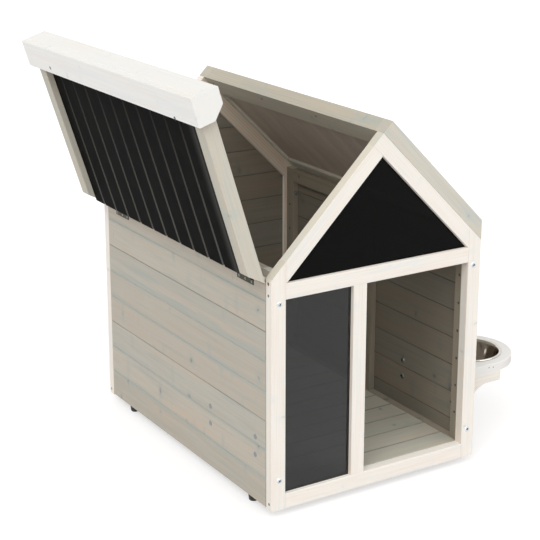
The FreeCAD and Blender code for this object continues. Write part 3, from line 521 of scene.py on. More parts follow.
BOARD_STAIN = "#b0ada7"
RIGHT_FRAME = (LEFT_OR_FRONT, "#c2bcb2")
LEFT_FRAME = (RIGHT_OR_FRONT, "#c2bcb2")
RIGHT_RAILS = (LEFT_OR_UP, "#c2bcb2")
LEFT_RAILS = (RIGHT_OR_UP, "#c2bcb2")
BACK = (INTO_FRONT, "#e8dfd3")
SEAT = (UP_LEFT, "#dfdfd7")
PALE_SEAT = (UP_LEFT, "#e8e7df")
# Painted shade on the sides of doorway and window that look left.
JAMB_SHADE = (INTO_LEFT, "#f2f0ed")
# Painted shade that takes down the upper faces of cap, ridge rails and right verges, where the lamps fall
# most.
CAP_TOP_SHADE = (UP_AND_FRONT, "#edecea")
RIDGE_TOP_SHADE = (UP_LEFT, "#ecebe8")
timber_plan = [
    ("white_washed_fir", WHITE_WASH, [
        ("upright", UPRIGHT, "front_post_left", SEAT),
        ("jambs", UPRIGHT, "front_post_right door_mullion", JAMB_SHADE),
        ("level", ACROSS, "front_cross_rail front_bottom_rail bowl_brackets"),
        ("left_slope", LEFT_SLOPE, "front_rafter_left", PALE_SEAT),
        ("right_slope", RIGHT_SLOPE, "front_rafter_right", SEAT),
        ("back_upright", UPRIGHT, "back_post_left back_post_right", BACK),
        ("back_level", ACROSS, "back_bottom_rail", BACK),
        ("back_left_slope", LEFT_SLOPE, "back_rafter_left", BACK),
        ("back_right_slope", RIGHT_SLOPE, "back_rafter_right", BACK),
    ]),
    ("white_painted_fir", COVERING_WHITE, [("shelf", ACROSS, "bowl_holder_board")]),
    ("white_painted_fir", CAP_WHITE, [
        ("cap", LENGTHWISE, "ridge_cap_board_left ridge_cap_board_right", CAP_TOP_SHADE),
        ("cap_ends", UPRIGHT, "ridge_cap_ends", CAP_TOP_SHADE),
    ]),
    ("grey_washed_fir", GREY_WASH, [
        ("left_wall", LENGTHWISE, "left_wall_boards", (INTO_RIGHT, BOARD_STAIN), WALL_JOINT),
        ("right_wall", LENGTHWISE, "right_wall_boards", (INTO_LEFT, BOARD_STAIN), WALL_JOINT),
        ("back_wall", ACROSS, "back_boards", (INTO_FRONT, BOARD_STAIN), BACK_JOINT),
        ("left_stiles", UPRIGHT, "left_wall_stiles", LEFT_FRAME),
        ("right_stiles", UPRIGHT, "right_wall_stiles", RIGHT_FRAME),
        ("left_rails", LENGTHWISE, "left_wall_top_rail left_wall_bottom_rail", LEFT_RAILS),
        ("right_rails", LENGTHWISE, "right_wall_top_rail right_wall_bottom_rail", RIGHT_RAILS),
        ("bearers", ACROSS, "floor_bearers"),
    ]),
    ("grey_washed_fir", FLOOR_WASH, [("floor", ACROSS, "floor_boards", None, FLOOR_JOINT)]),
    ("grey_washed_fir", LID_GREY_WASH, [
        ("roof_rails", LENGTHWISE,
         "right_roof_ridge_rail right_roof_eave_rail lid_ridge_rail lid_eave_rail", RIDGE_TOP_SHADE),
        ("lid_verges", OPEN_LID_SLOPE, "lid_verges"),
    ]),
    ("grey_washed_fir", PALE_GREY_WASH, [("right_verges", RIGHT_SLOPE, "right_roof_verges", RIDGE_TOP_SHADE)]),
]


def dress(mesh, material):
    """Gives a mesh one finish in place of whatever it had."""
    mesh.materials.clear()
    mesh.materials.append(material)


def dress_nodes(names, material):
    """The same for CAD nodes, whose names stand in one text."""
    for name in names.split():
        dress(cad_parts[name].data, material)


for kind, tones, rows in timber_plan:
    for part, turn, nodes, *more in rows:
        dress_nodes(nodes, washed_fir(kind + "_" + part, tones, turn, *more))
    print(kind, "in", tones[0], "on", [part for part, *more in rows])

# %% [markdown]
# The other materials are plain, but none is quite even: zinc, plastic and acrylic all vary a little over a
# few millimetres. One function gives that drift of colour and gloss, and paints shade into the recess that a
# driver goes into. Zinc plate turns brownish as it ages, and the hinges, which lie in the shade of the lid,
# are darkened further as painted shade, so they are darker than the bolts. The acrylic panes let a little
# light through. The gable pane mirrors a dark part of the studio: its darker colour is a painted reflection
# of that, and its low index of refraction stands for it too.

# %% Plain finishes


def plain_finish(name, code, other_code, mark_mm, roughness, recess_shade=None, **more):
    """Colour and roughness drift over marks of that size, with painted shade in a driver's recess."""
    material, tree, where = new_finish(name)
    drift = add(tree, "TexNoise", {
        "Vector": where["Object"], "Scale": 1 / (mark_mm * MM), "Detail": 3.0,
    }).outputs["Fac"]
    layers = [(drift, 0.35, 0.65, 1.0, colour(other_code))]
    # Painted shade in the recess that a driver goes into.
    if recess_shade:
        inside = add(tree, "Attribute", attribute_name="recess_shade").outputs["Fac"]
        layers.append((inside, 0.0, 1.0, 1.0, colour(recess_shade)))
    surface = paint_layers(tree, colour(code), layers)
    rough = add(tree, "MapRange", {"Value": drift, "To Min": roughness * 0.8, "To Max": roughness * 1.2})
    looks = {"Base Color": surface, "Roughness": rough}
    looks.update({label.replace("_", " "): value for label, value in more.items()})
    close_finish(tree, looks)
    return material


# Aged brownish zinc, darkened further as painted shade for the hinges under the lid.
aged_shaded_zinc = plain_finish("aged_shaded_zinc_plate", "#4a4739", "#39352b", 5.0, 0.4, Metallic=1.0)
bright_zinc = plain_finish("bright_zinc_plate", "#e4ecf0", "#b4c0c8", 4.0, 0.25, "#39424a", Metallic=1.0)
dull_zinc = plain_finish("dull_zinc_screw", "#97a09c", "#6f7877", 3.0, 0.35, "#33383a", Metallic=1.0)
shaded_zinc = plain_finish("shaded_zinc_screw", "#50585e", "#3b4247", 4.0, 0.4, "#22262a", Metallic=1.0)
grey_plastic = plain_finish("grey_plug_plastic", "#92959a", "#83868b", 4.0, 0.5)
black_plastic = plain_finish("black_foot_plastic", "#191919", "#242424", 4.0, 0.5)
raw_wood = plain_finish("raw_wood_of_a_hole", "#96703c", "#6b4a28", 2.0, 0.8)
window_acrylic = plain_finish(
    "smoked_acrylic_window", "#5d6267", "#595e63", 200.0, 0.03, Transmission_Weight=1.0, IOR=1.46)
# The gable pane's darker colour is a painted reflection of a dark part of the studio.
shaded_gable_acrylic = plain_finish(
    "smoked_acrylic_gable_shaded", "#202022", "#1c1c1e", 200.0, 0.03, Transmission_Weight=1.0, IOR=1.17)

dress_nodes("hinge_wall_leaves hinge_lid_leaves hinge_pins", aged_shaded_zinc)
dress_nodes("stay_plate stay_plate_screws stay_rivet stay_guide_screw stay_bar", bright_zinc)
dress_nodes("frame_nuts foot_screws", bright_zinc)
dress_nodes("window_pane", window_acrylic)
dress_nodes("gable_pane", shaded_gable_acrylic)
print("plain finishes are on hinges, stay, nuts and panes")

# %% [markdown]
# The undersides of the roof panels are thin plywood with a coarse, open face veneer. It is
# brown, with short dark pores that run up the slope.

# %% Plywood under the roof
PLY_MARKS_MM = {"pores": (30.0, 2.0), "figure": (260.0, 40.0)}
PLY_RELIEF_MM = 0.2


def plywood(name, turn):
    """Thin plywood whose face veneer has its grain up the slope."""
    material, tree, where = new_finish(name)
    grain = along_grain(tree, where["Object"], turn, PLY_MARKS_MM)
    pores, figure = (add(tree, "TexNoise", {
        "Vector": grain[mark], "Scale": 1.0, "Detail": detail,
    }).outputs["Fac"] for mark, detail in (("pores", 2.0), ("figure", 3.0)))
    surface = paint_layers(tree, colour("#c2b6aa"), [
        (figure, 0.35, 0.65, 1.0, colour("#b7ab9f")),
        (pores, 0.55, 0.75, 0.4, colour("#8d8073")),
    ])
    relief = add(tree, "Bump", {"Height": pores, "Strength": 0.4, "Distance": PLY_RELIEF_MM * MM})
    close_finish(tree, {"Base Color": surface, "Roughness": 0.75, "Normal": relief})
    return material


dress_nodes("right_roof_ply", plywood("brown_plywood_right", RIGHT_SLOPE))
dress_nodes("lid_ply", plywood("brown_plywood_lid", OPEN_LID_SLOPE))
print("plywood marks, millimetres:", PLY_MARKS_MM)

# %% [markdown]
# Geometry Nodes make everything that repeats. A helper starts an empty tree with one named
# number for each size and one finish, and a second helper grows a piece: it puts the tree on a
# mesh of points or on a plane, sets the inputs by their identifiers, keeps the result as a plain
# mesh and throws the live modifier away. The piece then rides on its body.

# %% Start a tree, grow a piece


def new_tree(name, sizes):
    """A modifier tree with a geometry input, a number for each named size, and a finish."""
    tree = bpy.data.node_groups.new(name, "GeometryNodeTree")
    tree.is_modifier = True
    tree.interface.new_socket("Geometry", in_out="INPUT", socket_type="NodeSocketGeometry")
    for label, value in sizes.items():
        kind = "NodeSocketInt" if isinstance(value, int) else "NodeSocketFloat"
        tree.interface.new_socket(label, in_out="INPUT", socket_type=kind).default_value = value
    tree.interface.new_socket("Finish", in_out="INPUT", socket_type="NodeSocketMaterial")
    tree.interface.new_socket("Geometry", in_out="OUTPUT", socket_type="NodeSocketGeometry")
    return tree, add(tree, "NodeGroupInput").outputs


def close_tree(tree, shape, finish):
    """The last nodes of every tree: real geometry instead of instances, and its finish."""
    real = add(tree, "GeometryNodeRealizeInstances", {"Geometry": shape})
    done = add(tree, "GeometryNodeSetMaterial", {"Geometry": real, "Material": finish})
    add(tree, "NodeGroupOutput", {"Geometry": done})
    print(tree.name, "has", len(tree.nodes), "nodes")


def keep_piece(name, mesh, body, stands_for):
    """Makes a finished mesh a piece of the kennel, in place of the CAD nodes that it stands for."""
    piece = bpy.data.objects.new(name, mesh)
    scene.collection.objects.link(piece)
    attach(piece, body)
    if stands_for:
        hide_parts(*stands_for)
    print(name, len(mesh.polygons), "faces on", body)
    return piece


def grow(name, mesh, tree, finish, body, stands_for, crease, placed, sizes):
    """Runs a tree on a mesh and keeps the result as one plain piece."""
    seed = bpy.data.objects.new(name + "_seed", mesh)
    scene.collection.objects.link(seed)
    modifier = seed.modifiers.new("grow", "NODES")
    modifier.node_group = tree
    wanted = {label.replace("_", " ").title(): value for label, value in sizes.items()}
    wanted["Finish"] = finish
    for socket in tree.interface.items_tree:
        if socket.in_out == "INPUT" and socket.name in wanted:
            modifier[socket.identifier] = wanted.pop(socket.name)
    if wanted:
        raise ValueError("no input named " + ", ".join(wanted))
    grown = bpy.data.meshes.new_from_object(seed.evaluated_get(bpy.context.evaluated_depsgraph_get()))
    bpy.data.objects.remove(seed)
    grown.name = name
    dress(grown, finish)
    grown.transform(placed)
    grown.shade_smooth()
    grown.set_sharp_from_angle(angle=math.radians(crease))
    keep_piece(name, grown, body, stands_for)


# %% [markdown]
# A screw head, a bolt head and a plug differ only in a few sizes, so one tree makes them all.
# It starts from a ball of radius 1. Its upper half is pressed to the head's height and may be flattened, its
# lower half is pressed to the depth that sinks into the wood. A prism or a cross of two bars is cut out for
# the driver, and the faces that it leaves are marked for painted shade in the recess. The head is then set
# on every point, facing the way that the point's own arrow says, and turned by chance, as screws are.

# %% A tree for fastener heads
HEAD_SIZES = {
    "Head Radius": 0.004, "Head Height": 0.001, "Sunk Depth": 0.001, "Flatness": 1.0, "Sides": 20,
    "Recess Size": 0.002, "Recess Depth": 0.001, "Shank Radius": 0.002, "Shank Length": 0.010, "Seed": 3,
}


def pressed_ball(tree, size):
    """The head itself: a ball pressed flat above and below."""
    ball = add(tree, "GeometryNodeMeshUVSphere", {"Segments": size["Sides"], "Rings": 8, "Radius": 1.0})
    point = add(tree, "SeparateXYZ", [add(tree, "GeometryNodeInputPosition")]).outputs
    upper = add(tree, "Math MAXIMUM", [point["Z"], 0.0])
    upper = add(tree, "Math MULTIPLY", [upper, size["Flatness"]])
    upper = add(tree, "Math MINIMUM", [upper, 1.0])
    lower = add(tree, "Math MINIMUM", [point["Z"], 0.0])
    lower = add(tree, "Math MULTIPLY", [lower, size["Sunk Depth"]])
    place = add(tree, "CombineXYZ", [
        add(tree, "Math MULTIPLY", [point["X"], size["Head Radius"]]),
        add(tree, "Math MULTIPLY", [point["Y"], size["Head Radius"]]),
        add(tree, "Math MULTIPLY_ADD", [upper, size["Head Height"], lower]),
    ])
    return add(tree, "GeometryNodeSetPosition", {"Geometry": ball.outputs["Mesh"], "Position": place})


def recess_cutters(tree, size, recess):
    """What the driver's hole is cut with: a prism for a socket, crossed bars for a cross, or nothing."""
    deep = add(tree, "Math MULTIPLY", [size["Recess Depth"], 2.0])
    if recess == "hexagon":
        return [add(tree, "GeometryNodeMeshCylinder", {
            "Vertices": 6, "Radius": size["Recess Size"], "Depth": deep,
        }).outputs["Mesh"]]
    narrow = add(tree, "Math MULTIPLY", [size["Recess Size"], 0.5])
    broad = add(tree, "Math MULTIPLY", [size["Recess Size"], 2.0])
    bars = []
    for x, y in ((broad, narrow), (narrow, broad)):
        sides = add(tree, "CombineXYZ", [x, y, deep])
        bars.append(add(tree, "GeometryNodeMeshCube", {"Size": sides}).outputs["Mesh"])
    return bars


def head_tree(name, recess):
    """Heads with a recess of one kind: cross, hexagon or none."""
    tree, size = new_tree(name, HEAD_SIZES)
    head = pressed_ball(tree, size)
    top = add(tree, "CombineXYZ", {"Z": size["Head Height"]})
    for cutter in recess_cutters(tree, size, recess) if recess != "none" else []:
        lifted = add(tree, "GeometryNodeTransform", {"Geometry": cutter, "Translation": top})
        # The cutter's faces carry the mark for the painted shade in the recess.
        lifted = add(tree, "GeometryNodeStoreNamedAttribute", {
            "Geometry": lifted, "Name": "recess_shade", "Value": 1.0,
        }, domain="FACE")
        head = add(tree, "GeometryNodeMeshBoolean DIFFERENCE", {"Mesh 1": head, "Mesh 2": lifted})
    shank = add(tree, "GeometryNodeMeshCylinder", {
        "Vertices": 8, "Radius": size["Shank Radius"], "Depth": size["Shank Length"],
    }).outputs["Mesh"]
    reach = add(tree, "Math ADD", [size["Shank Length"], size["Sunk Depth"]])
    lowered = add(tree, "CombineXYZ", {"Z": add(tree, "Math MULTIPLY", [reach, -0.5])})
    shank = add(tree, "GeometryNodeTransform", {"Geometry": shank, "Translation": lowered})
    whole = add(tree, "GeometryNodeJoinGeometry", {"Geometry": [shank, head]})

    arrow = add(tree, "GeometryNodeInputNamedAttribute", {"Name": "arrow"}, data_type="FLOAT_VECTOR")
    facing = add(tree, "FunctionNodeAlignRotationToVector", {"Vector": arrow.outputs["Attribute"]}, axis="Z")
    angle = add(tree, "FunctionNodeRandomValue", {
        "Max_001": math.tau, "Seed": size["Seed"],
    }, data_type="FLOAT")
    spin = add(tree, "FunctionNodeEulerToRotation", [add(tree, "CombineXYZ", {"Z": angle})])
    turned = add(tree, "FunctionNodeRotateRotation", {
        "Rotation": facing, "Rotate By": spin,
    }, rotation_space="LOCAL")
    heads = add(tree, "GeometryNodeInstanceOnPoints", {
        "Points": size["Geometry"], "Instance": whole, "Rotation": turned,
    })
    close_tree(tree, heads, size["Finish"])
    return tree


cross_heads = head_tree("cross_recess_heads", "cross")
socket_heads = head_tree("hexagon_socket_heads", "hexagon")
plain_heads = head_tree("plain_heads", "none")

# %% [markdown]
# The places of heads are a mesh of loose points, each with the arrow that its head faces along.
# One function makes that mesh, takes the sizes of a head in millimetres, and grows the heads.

# %% Set heads at their places
HEAD_CREASE = 35.0


def set_heads(name, places, tree, finish, stands_for=(), body="root", slot="zinc_fastener",
              flatness=1.0, sides=14, **millimetres):
    """Grows one head at every place, which is a point and an arrow."""
    points = bpy.data.meshes.new("places")
    points.from_pydata([place for place, arrow in places], [], [])
    attribute = points.attributes.new("arrow", "FLOAT_VECTOR", "POINT")
    for index, (place, arrow) in enumerate(places):
        attribute.data[index].vector = arrow
    sizes = {label: value * MM for label, value in millimetres.items()}
    sizes.update(flatness=flatness, sides=sides)
    grow(name, points, tree, finish, body, stands_for, HEAD_CREASE, Matrix.Identity(4), sizes)


# %% [markdown]
# The corners of both gable frames are pulled together by bolts with a flat head and a hexagon
# socket. Four look forward and four backward.

# %% Frame bolts
FRAME_BOLT_X = 279.0
FRAME_BOLT_Z = (76.0, 510.0)

bolt_places = []
for x in (-FRAME_BOLT_X, FRAME_BOLT_X):
    for z in FRAME_BOLT_Z:
        bolt_places.append((house(x, 0.0, z), (0, -1, 0)))
        bolt_places.append((house(x, DEPTH, z), (0, 1, 0)))
set_heads("frame_bolt_heads", bolt_places, socket_heads, bright_zinc, ["frame_bolts"], head_radius=6.5,
          head_height=1.8, sunk_depth=1.0, flatness=1.2, sides=28, recess_size=3.2, recess_depth=2.6,
          shank_radius=3.0, shank_length=64.0)

# %% [markdown]
# The feeding shelf hangs on four bolts whose domed heads show inside on the right wall. The same
# four holes wait in the left wall under plastic plugs, for a shelf on the other side.

# %% Shelf bolts and plugs
WALL_FACE_IN = 288.0
SHELF_Y = 179.0
SHELF_R = 115.0
BRACKET_T = 18.0
SHELF_BOLT_Z = (120.0, 165.0)
BRACKET_MIDDLE = SHELF_R - BRACKET_T / 2

dome_places, plug_places = [], []
for y in (SHELF_Y - BRACKET_MIDDLE, SHELF_Y + BRACKET_MIDDLE):
    for z in SHELF_BOLT_Z:
        dome_places.append((house(WALL_FACE_IN, y, z), (-1, 0, 0)))
        plug_places.append((house(-HALF, y, z), (-1, 0, 0)))
set_heads("shelf_bolt_domes", dome_places, socket_heads, dull_zinc, ["bracket_bolts"], head_radius=7.0,
          head_height=3.0, sunk_depth=0.5, sides=28, recess_size=2.8, recess_depth=2.0, shank_radius=3.0,
          shank_length=40.0)
set_heads("hole_plugs", plug_places, plain_heads, grey_plastic, ["wall_plugs"], slot="grey_plastic",
          head_radius=6.8, head_height=1.2, sunk_depth=0.5, flatness=1.8, sides=24, shank_radius=3.0,
          shank_length=9.0)

# %% [markdown]
# Pieces on a roof panel are easiest to place in the panel's own measures: into the depth, up the
# slope from the eave, and out of the slope. A 4 by 4 matrix holds these three directions and
# the eave corner. The lid has the same measures, mirrored, lifted by half a millimetre and
# turned open about its hinge line.

# %% The two roof panels' own measures
DIAGONAL = math.sqrt(0.5)
SLOPE_LENGTH = HALF / DIAGONAL
LID_GAP = 0.5
HINGE_X = -304.5
HINGE_Z = 555.0


def frame_matrix(depth_way, up_way, out_way, corner):
    """Columns are the directions, in metres for each millimetre of the panel."""
    rows = Matrix([Vector(way) * MM for way in (depth_way, up_way, out_way)])
    turned = rows.transposed().to_4x4()
    turned.translation = corner
    return turned


UP_TO_LEFT = (-DIAGONAL, 0, DIAGONAL)
UP_TO_RIGHT = (DIAGONAL, 0, DIAGONAL)
RIGHT_PANEL = frame_matrix((0, 1, 0), UP_TO_LEFT, UP_TO_RIGHT, house(HALF, 0, EAVE_Z))
closed_corner = house(-HALF - LID_GAP * DIAGONAL, DEPTH, EAVE_Z + LID_GAP * DIAGONAL)
closed_lid = frame_matrix((0, -1, 0), UP_TO_RIGHT, UP_TO_LEFT, closed_corner)
hinge_line = Matrix.Translation(house(HINGE_X, 0, HINGE_Z))
swing = hinge_line @ Matrix.Rotation(-math.radians(LID_DEGREES), 4, "Y") @ hinge_line.inverted()
LID_PANEL = swing @ closed_lid


def on_panel(panel, depth, up, out, side):
    """A place on a panel and the arrow of a head there, which looks out of the slope or under it."""
    return panel @ Vector((depth, up, out)), (panel.to_3x3() @ Vector((0, 0, side))).normalized()


print("ridge of the open lid:", [round(value, 3) for value in LID_PANEL @ Vector((0, SLOPE_LENGTH, 0))])

# %% [markdown]
# Small countersunk screws with a cross recess hold the boards to the stiles, one in the middle
# of every board. More of them hold the rails, the posts, the ridge rails and the ridge cap.
# Their heads lie almost flush and look dark, because they sit in their own shadow.

# %% Wood screws
STILE_FACE = 270.0
STILE_Y = (41.0, 429.0, 817.0)
FIRST_SCREW_Z = 109.0
BOARD_PITCH = 73.0
BOARDS_SCREWED = 6
TOP_SCREW_Z = 566.0
RAIL_SCREW_Y = (88.0, 388.0, 470.0, 770.0)
POST_SCREWS = ((14.0, 530.0), (11.5, 16.0), (DEPTH - 9.5, 13.0))
RIDGE_SCREW_UP = 400.0
RIDGE_SCREW_DEPTHS = (52.0, 305.0, 559.0, 812.0)
CAP_FACE_OUT = 51.0
CAP_SCREWS = ((122.0, 424.0), (769.0, 412.0))

body_screws, lid_screws = [], []
for side in (-1, 1):
    for y in STILE_Y:
        for row in range(BOARDS_SCREWED):
            z = FIRST_SCREW_Z + BOARD_PITCH * row
            body_screws.append((house(side * STILE_FACE, y, z), (-side, 0, 0)))
    body_screws += [(house(side * STILE_FACE, y, TOP_SCREW_Z), (-side, 0, 0)) for y in RAIL_SCREW_Y]
    body_screws += [(house(side * HALF, y, z), (side, 0, 0)) for y, z in POST_SCREWS]
for depth in RIDGE_SCREW_DEPTHS:
    body_screws.append(on_panel(RIGHT_PANEL, depth, RIDGE_SCREW_UP, 0.0, -1))
    lid_screws.append(on_panel(LID_PANEL, depth, RIDGE_SCREW_UP, 0.0, -1))
cap_screws = [on_panel(LID_PANEL, depth, up, CAP_FACE_OUT, 1) for depth, up in CAP_SCREWS]
for name, places, body, radius in (
    ("body_wood_screws", body_screws, "root", 3.4),
    ("lid_wood_screws", lid_screws, "lid", 3.4),
    ("ridge_cap_screws", cap_screws, "lid", 4.4),
):
    set_heads(name, places, cross_heads, shaded_zinc, body=body, head_radius=radius, head_height=0.3,
              sunk_depth=1.5, flatness=2.0, recess_size=radius * 0.55, recess_depth=0.9, shank_radius=1.2,
              shank_length=8.0)

# %% [markdown]
# Each hinge leaf has three countersunk screws. The lid's leaves stand open, so their places are
# found on the closed lid and swung open with it.

# %% Hinge screws
HINGE_LENGTH = 72.0
HINGE_INSET = 77.0
HINGE_STARTS = (HINGE_INSET, DEPTH - HINGE_INSET - HINGE_LENGTH)
LEAF_T = 1.5
LEAF_SCREW_RISE = 11.0
LEAF_SCREW_STEPS = (8.0, 36.0, 64.0)

wall_screws, leaf_screws = [], []
for start in HINGE_STARTS:
    for step in LEAF_SCREW_STEPS:
        wall_screws.append((house(-HALF - LEAF_T, start + step, HINGE_Z - LEAF_SCREW_RISE), (-1, 0, 0)))
        closed = house(-HALF - LEAF_T, start + step, HINGE_Z + LEAF_SCREW_RISE)
        leaf_screws.append((swing @ closed, swing.to_3x3() @ Vector((-1, 0, 0))))
for name, places, body, node in (
    ("hinge_wall_screw_heads", wall_screws, "root", "hinge_wall_screws"),
    ("hinge_lid_screw_heads", leaf_screws, "lid", "hinge_lid_screws"),
):
    set_heads(name, places, cross_heads, dull_zinc, [node], body, head_radius=3.2, head_height=0.4,
              sunk_depth=1.4, flatness=1.5, sides=16, recess_size=1.8, recess_depth=0.9, shank_radius=1.4,
              shank_length=9.0)

# %% [markdown]
# Two things show raw wood: the empty holes at the top of the front posts, where a screw may hold
# the lid shut, and two small filled nail holes in the edge of the shelf. Each is a flat brown
# disc just proud of the paint.

# %% Raw holes
POST_HOLE = (14.5, 558.0)
SHELF_NAILS = ((399.0, 194.0), (413.0, 192.5))

holes = [(house(side * HALF, *POST_HOLE), (side, 0, 0)) for side in (-1, 1)]
nails = [(house(x, SHELF_Y - SHELF_R, z), (0, -1, 0)) for x, z in SHELF_NAILS]
for name, places, radius in (("post_holes", holes, 4.2), ("shelf_nail_holes", nails, 1.6)):
    set_heads(name, places, plain_heads, raw_wood, slot="white_washed_fir", head_radius=radius,
              head_height=0.15, sunk_depth=0.5, flatness=2.0, shank_radius=radius / 2, shank_length=4.0)

# %% [markdown]
# The roof sheet is a main piece with a rule: flat pans with a narrow groove every 69 mm. It is
# grown from a plane. Each point asks how far it is from the nearest groove and sinks by a smooth
# step, so the bends are slightly round, as in a rolled sheet. The plane is pushed down by the
# sheet's thickness, turned over and joined with itself to a closed shell. One wall of every groove gets a
# painted highlight, a pale line where the bend of the groove would catch the light, stronger near the eave
# than at the ridge. The groove beside the front verge gets no painted highlight, since the painted sheen
# lies there. How strong the painted highlight is at each point goes onto the points as an attribute, for the
# finish to use.

# %% A tree for the ribbed sheet
SHEET_SIZES = {
    "Length": 0.785, "Run": 0.387, "Pitch": 0.06937, "First Groove": 0.039, "Groove Half Top": 0.0045,
    "Groove Half Floor": 0.003, "Groove Depth": 0.0056, "Thickness": 0.0012, "Groove Highlight Side": 1.0,
    "Groove Highlight Width": 0.0022, "Groove Highlight At Ridge": 0.4, "Unlit Groove": 0, "Columns": 1571,
}
ribs, size = new_tree("ribbed_sheet", SHEET_SIZES)
plane = add(ribs, "GeometryNodeMeshGrid", {
    "Size X": size["Length"], "Size Y": size["Run"], "Vertices X": size["Columns"], "Vertices Y": 2,
}).outputs["Mesh"]
spot = add(ribs, "SeparateXYZ", [add(ribs, "GeometryNodeInputPosition")]).outputs
along = add(ribs, "Math MULTIPLY_ADD", [size["Length"], 0.5, spot["X"]])
upward = add(ribs, "Math MULTIPLY_ADD", [size["Run"], 0.5, spot["Y"]])
from_first = add(ribs, "Math SUBTRACT", [along, size["First Groove"]])
count = add(ribs, "Math DIVIDE", [from_first, size["Pitch"]])
nearest = add(ribs, "Math ROUND", [count])
beside = add(ribs, "Math SUBTRACT", [count, nearest])
beside = add(ribs, "Math MULTIPLY", [beside, size["Pitch"]])
away = add(ribs, "Math ABSOLUTE", [beside])
sunk = add(ribs, "MapRange", {
    "Value": away, "From Min": size["Groove Half Top"], "From Max": size["Groove Half Floor"],
}, interpolation_type="SMOOTHSTEP")
fall = add(ribs, "Math MULTIPLY", [sunk, size["Groove Depth"]])
fall = add(ribs, "Math MULTIPLY", [fall, -1.0])
moved = add(ribs, "CombineXYZ", [along, upward, fall])

# Painted highlight: a pale line on one wall of each groove, fading towards the ridge.
middle = add(ribs, "Math ADD", [size["Groove Half Top"], size["Groove Half Floor"]])
middle = add(ribs, "Math MULTIPLY", [middle, 0.5])
middle = add(ribs, "Math MULTIPLY", [middle, size["Groove Highlight Side"]])
off_wall = add(ribs, "Math SUBTRACT", [beside, middle])
off_wall = add(ribs, "Math ABSOLUTE", [off_wall])
strength = add(ribs, "MapRange", {
    "Value": upward, "From Max": size["Run"], "To Min": 1.0, "To Max": size["Groove Highlight At Ridge"],
})
# The groove beside the front verge gets no painted highlight.
unlit = add(ribs, "Math COMPARE", [nearest, size["Unlit Groove"], 0.5])
strength = add(ribs, "Math SUBTRACT", [strength, unlit])
groove_highlight = add(ribs, "MapRange", {
    "Value": off_wall, "From Min": size["Groove Highlight Width"], "From Max": 0.0, "To Max": strength,
}, interpolation_type="SMOOTHSTEP")
marked = add(ribs, "GeometryNodeStoreNamedAttribute", {"Geometry": plane, "Name": "groove_highlight", "Value": groove_highlight})
upper = add(ribs, "GeometryNodeSetPosition", {"Geometry": marked, "Position": moved})
down = add(ribs, "Math MULTIPLY", [size["Thickness"], -1.0])
under = add(ribs, "GeometryNodeExtrudeMesh", {
    "Mesh": upper, "Offset": (0.0, 0.0, 1.0), "Offset Scale": down, "Individual": False,
})
under = add(ribs, "GeometryNodeFlipFaces", {"Mesh": under.outputs["Mesh"]})
shell = add(ribs, "GeometryNodeJoinGeometry", {"Geometry": [upper, under]})
shell = add(ribs, "GeometryNodeMergeByDistance", {"Geometry": shell, "Distance": 0.01 * MM})
close_tree(ribs, shell, size["Finish"])

# %% [markdown]
# The sheet is black rigid PVC, rolled and satin. Its gloss is low, so that it stays black in a white studio,
# and a painted highlight on one wall of each groove draws the fine pale lines down the roof. Beside the
# front verge a painted sheen, the light of the white verge on the sheet, fades out over a few centimetres.

# %% Black roof sheet
# Where the painted sheen beside the front verge starts and where it is full, in millimetres of depth.
VERGE_SHEEN_Y = (112.0, 60.0)
CLOUD_MM = 45.0

black_sheet, tree, where = new_finish("black_pvc_sheet")
cloud = add(tree, "TexNoise", {
    "Vector": where["Object"], "Scale": 1 / (CLOUD_MM * MM), "Detail": 4.0,
}).outputs["Fac"]
# The painted highlight on the groove walls, read from the sheet's attribute.
groove_highlight = add(tree, "Attribute", attribute_name="groove_highlight").outputs["Fac"]
depth = add(tree, "SeparateXYZ", {"Vector": where["Object"]}).outputs["Y"]
sheen_ends, sheen_full = (HOUSE_ZERO.y + reach * MM for reach in VERGE_SHEEN_Y)
surface = paint_layers(tree, colour("#101010"), [
    (cloud, 0.3, 0.7, 1.0, colour("#191918")),
    (groove_highlight, 0.0, 1.0, 0.9, colour("#6e6d68")),
    # Painted sheen: the white verge's light on the sheet next to it.
    (depth, sheen_ends, sheen_full, 0.45, colour("#7b7a76")),
])
rough = add(tree, "MapRange", {"Value": cloud, "To Min": 0.5, "To Max": 0.65})
close_finish(tree, {"Base Color": surface, "Roughness": rough, "Specular IOR Level": 0.01})
# The fade printed here is that of the painted sheen.
print("dust fades out over", VERGE_SHEEN_Y[0] - VERGE_SHEEN_Y[1], "millimetres")

# %% [markdown]
# The same tree gives both sheets. They lie between the verges and stop under the ridge. Their
# measures are those of the panels, and the grooves of the lid are counted from its other end.

# %% Both roof sheets
VERGE_W = 36.0
SIDE_PLAY = 0.5
SHEET_LOW = 12.5
SHEET_TOP = 20.0
RIDGE_UPSTAND = 24.5
LID_RIDGE_PLAY = 1.0
GROOVE_PITCH = 69.37
GROOVES = 11
FIRST_GROOVE_Y = 75.85
SHEET_CREASE = 50.0

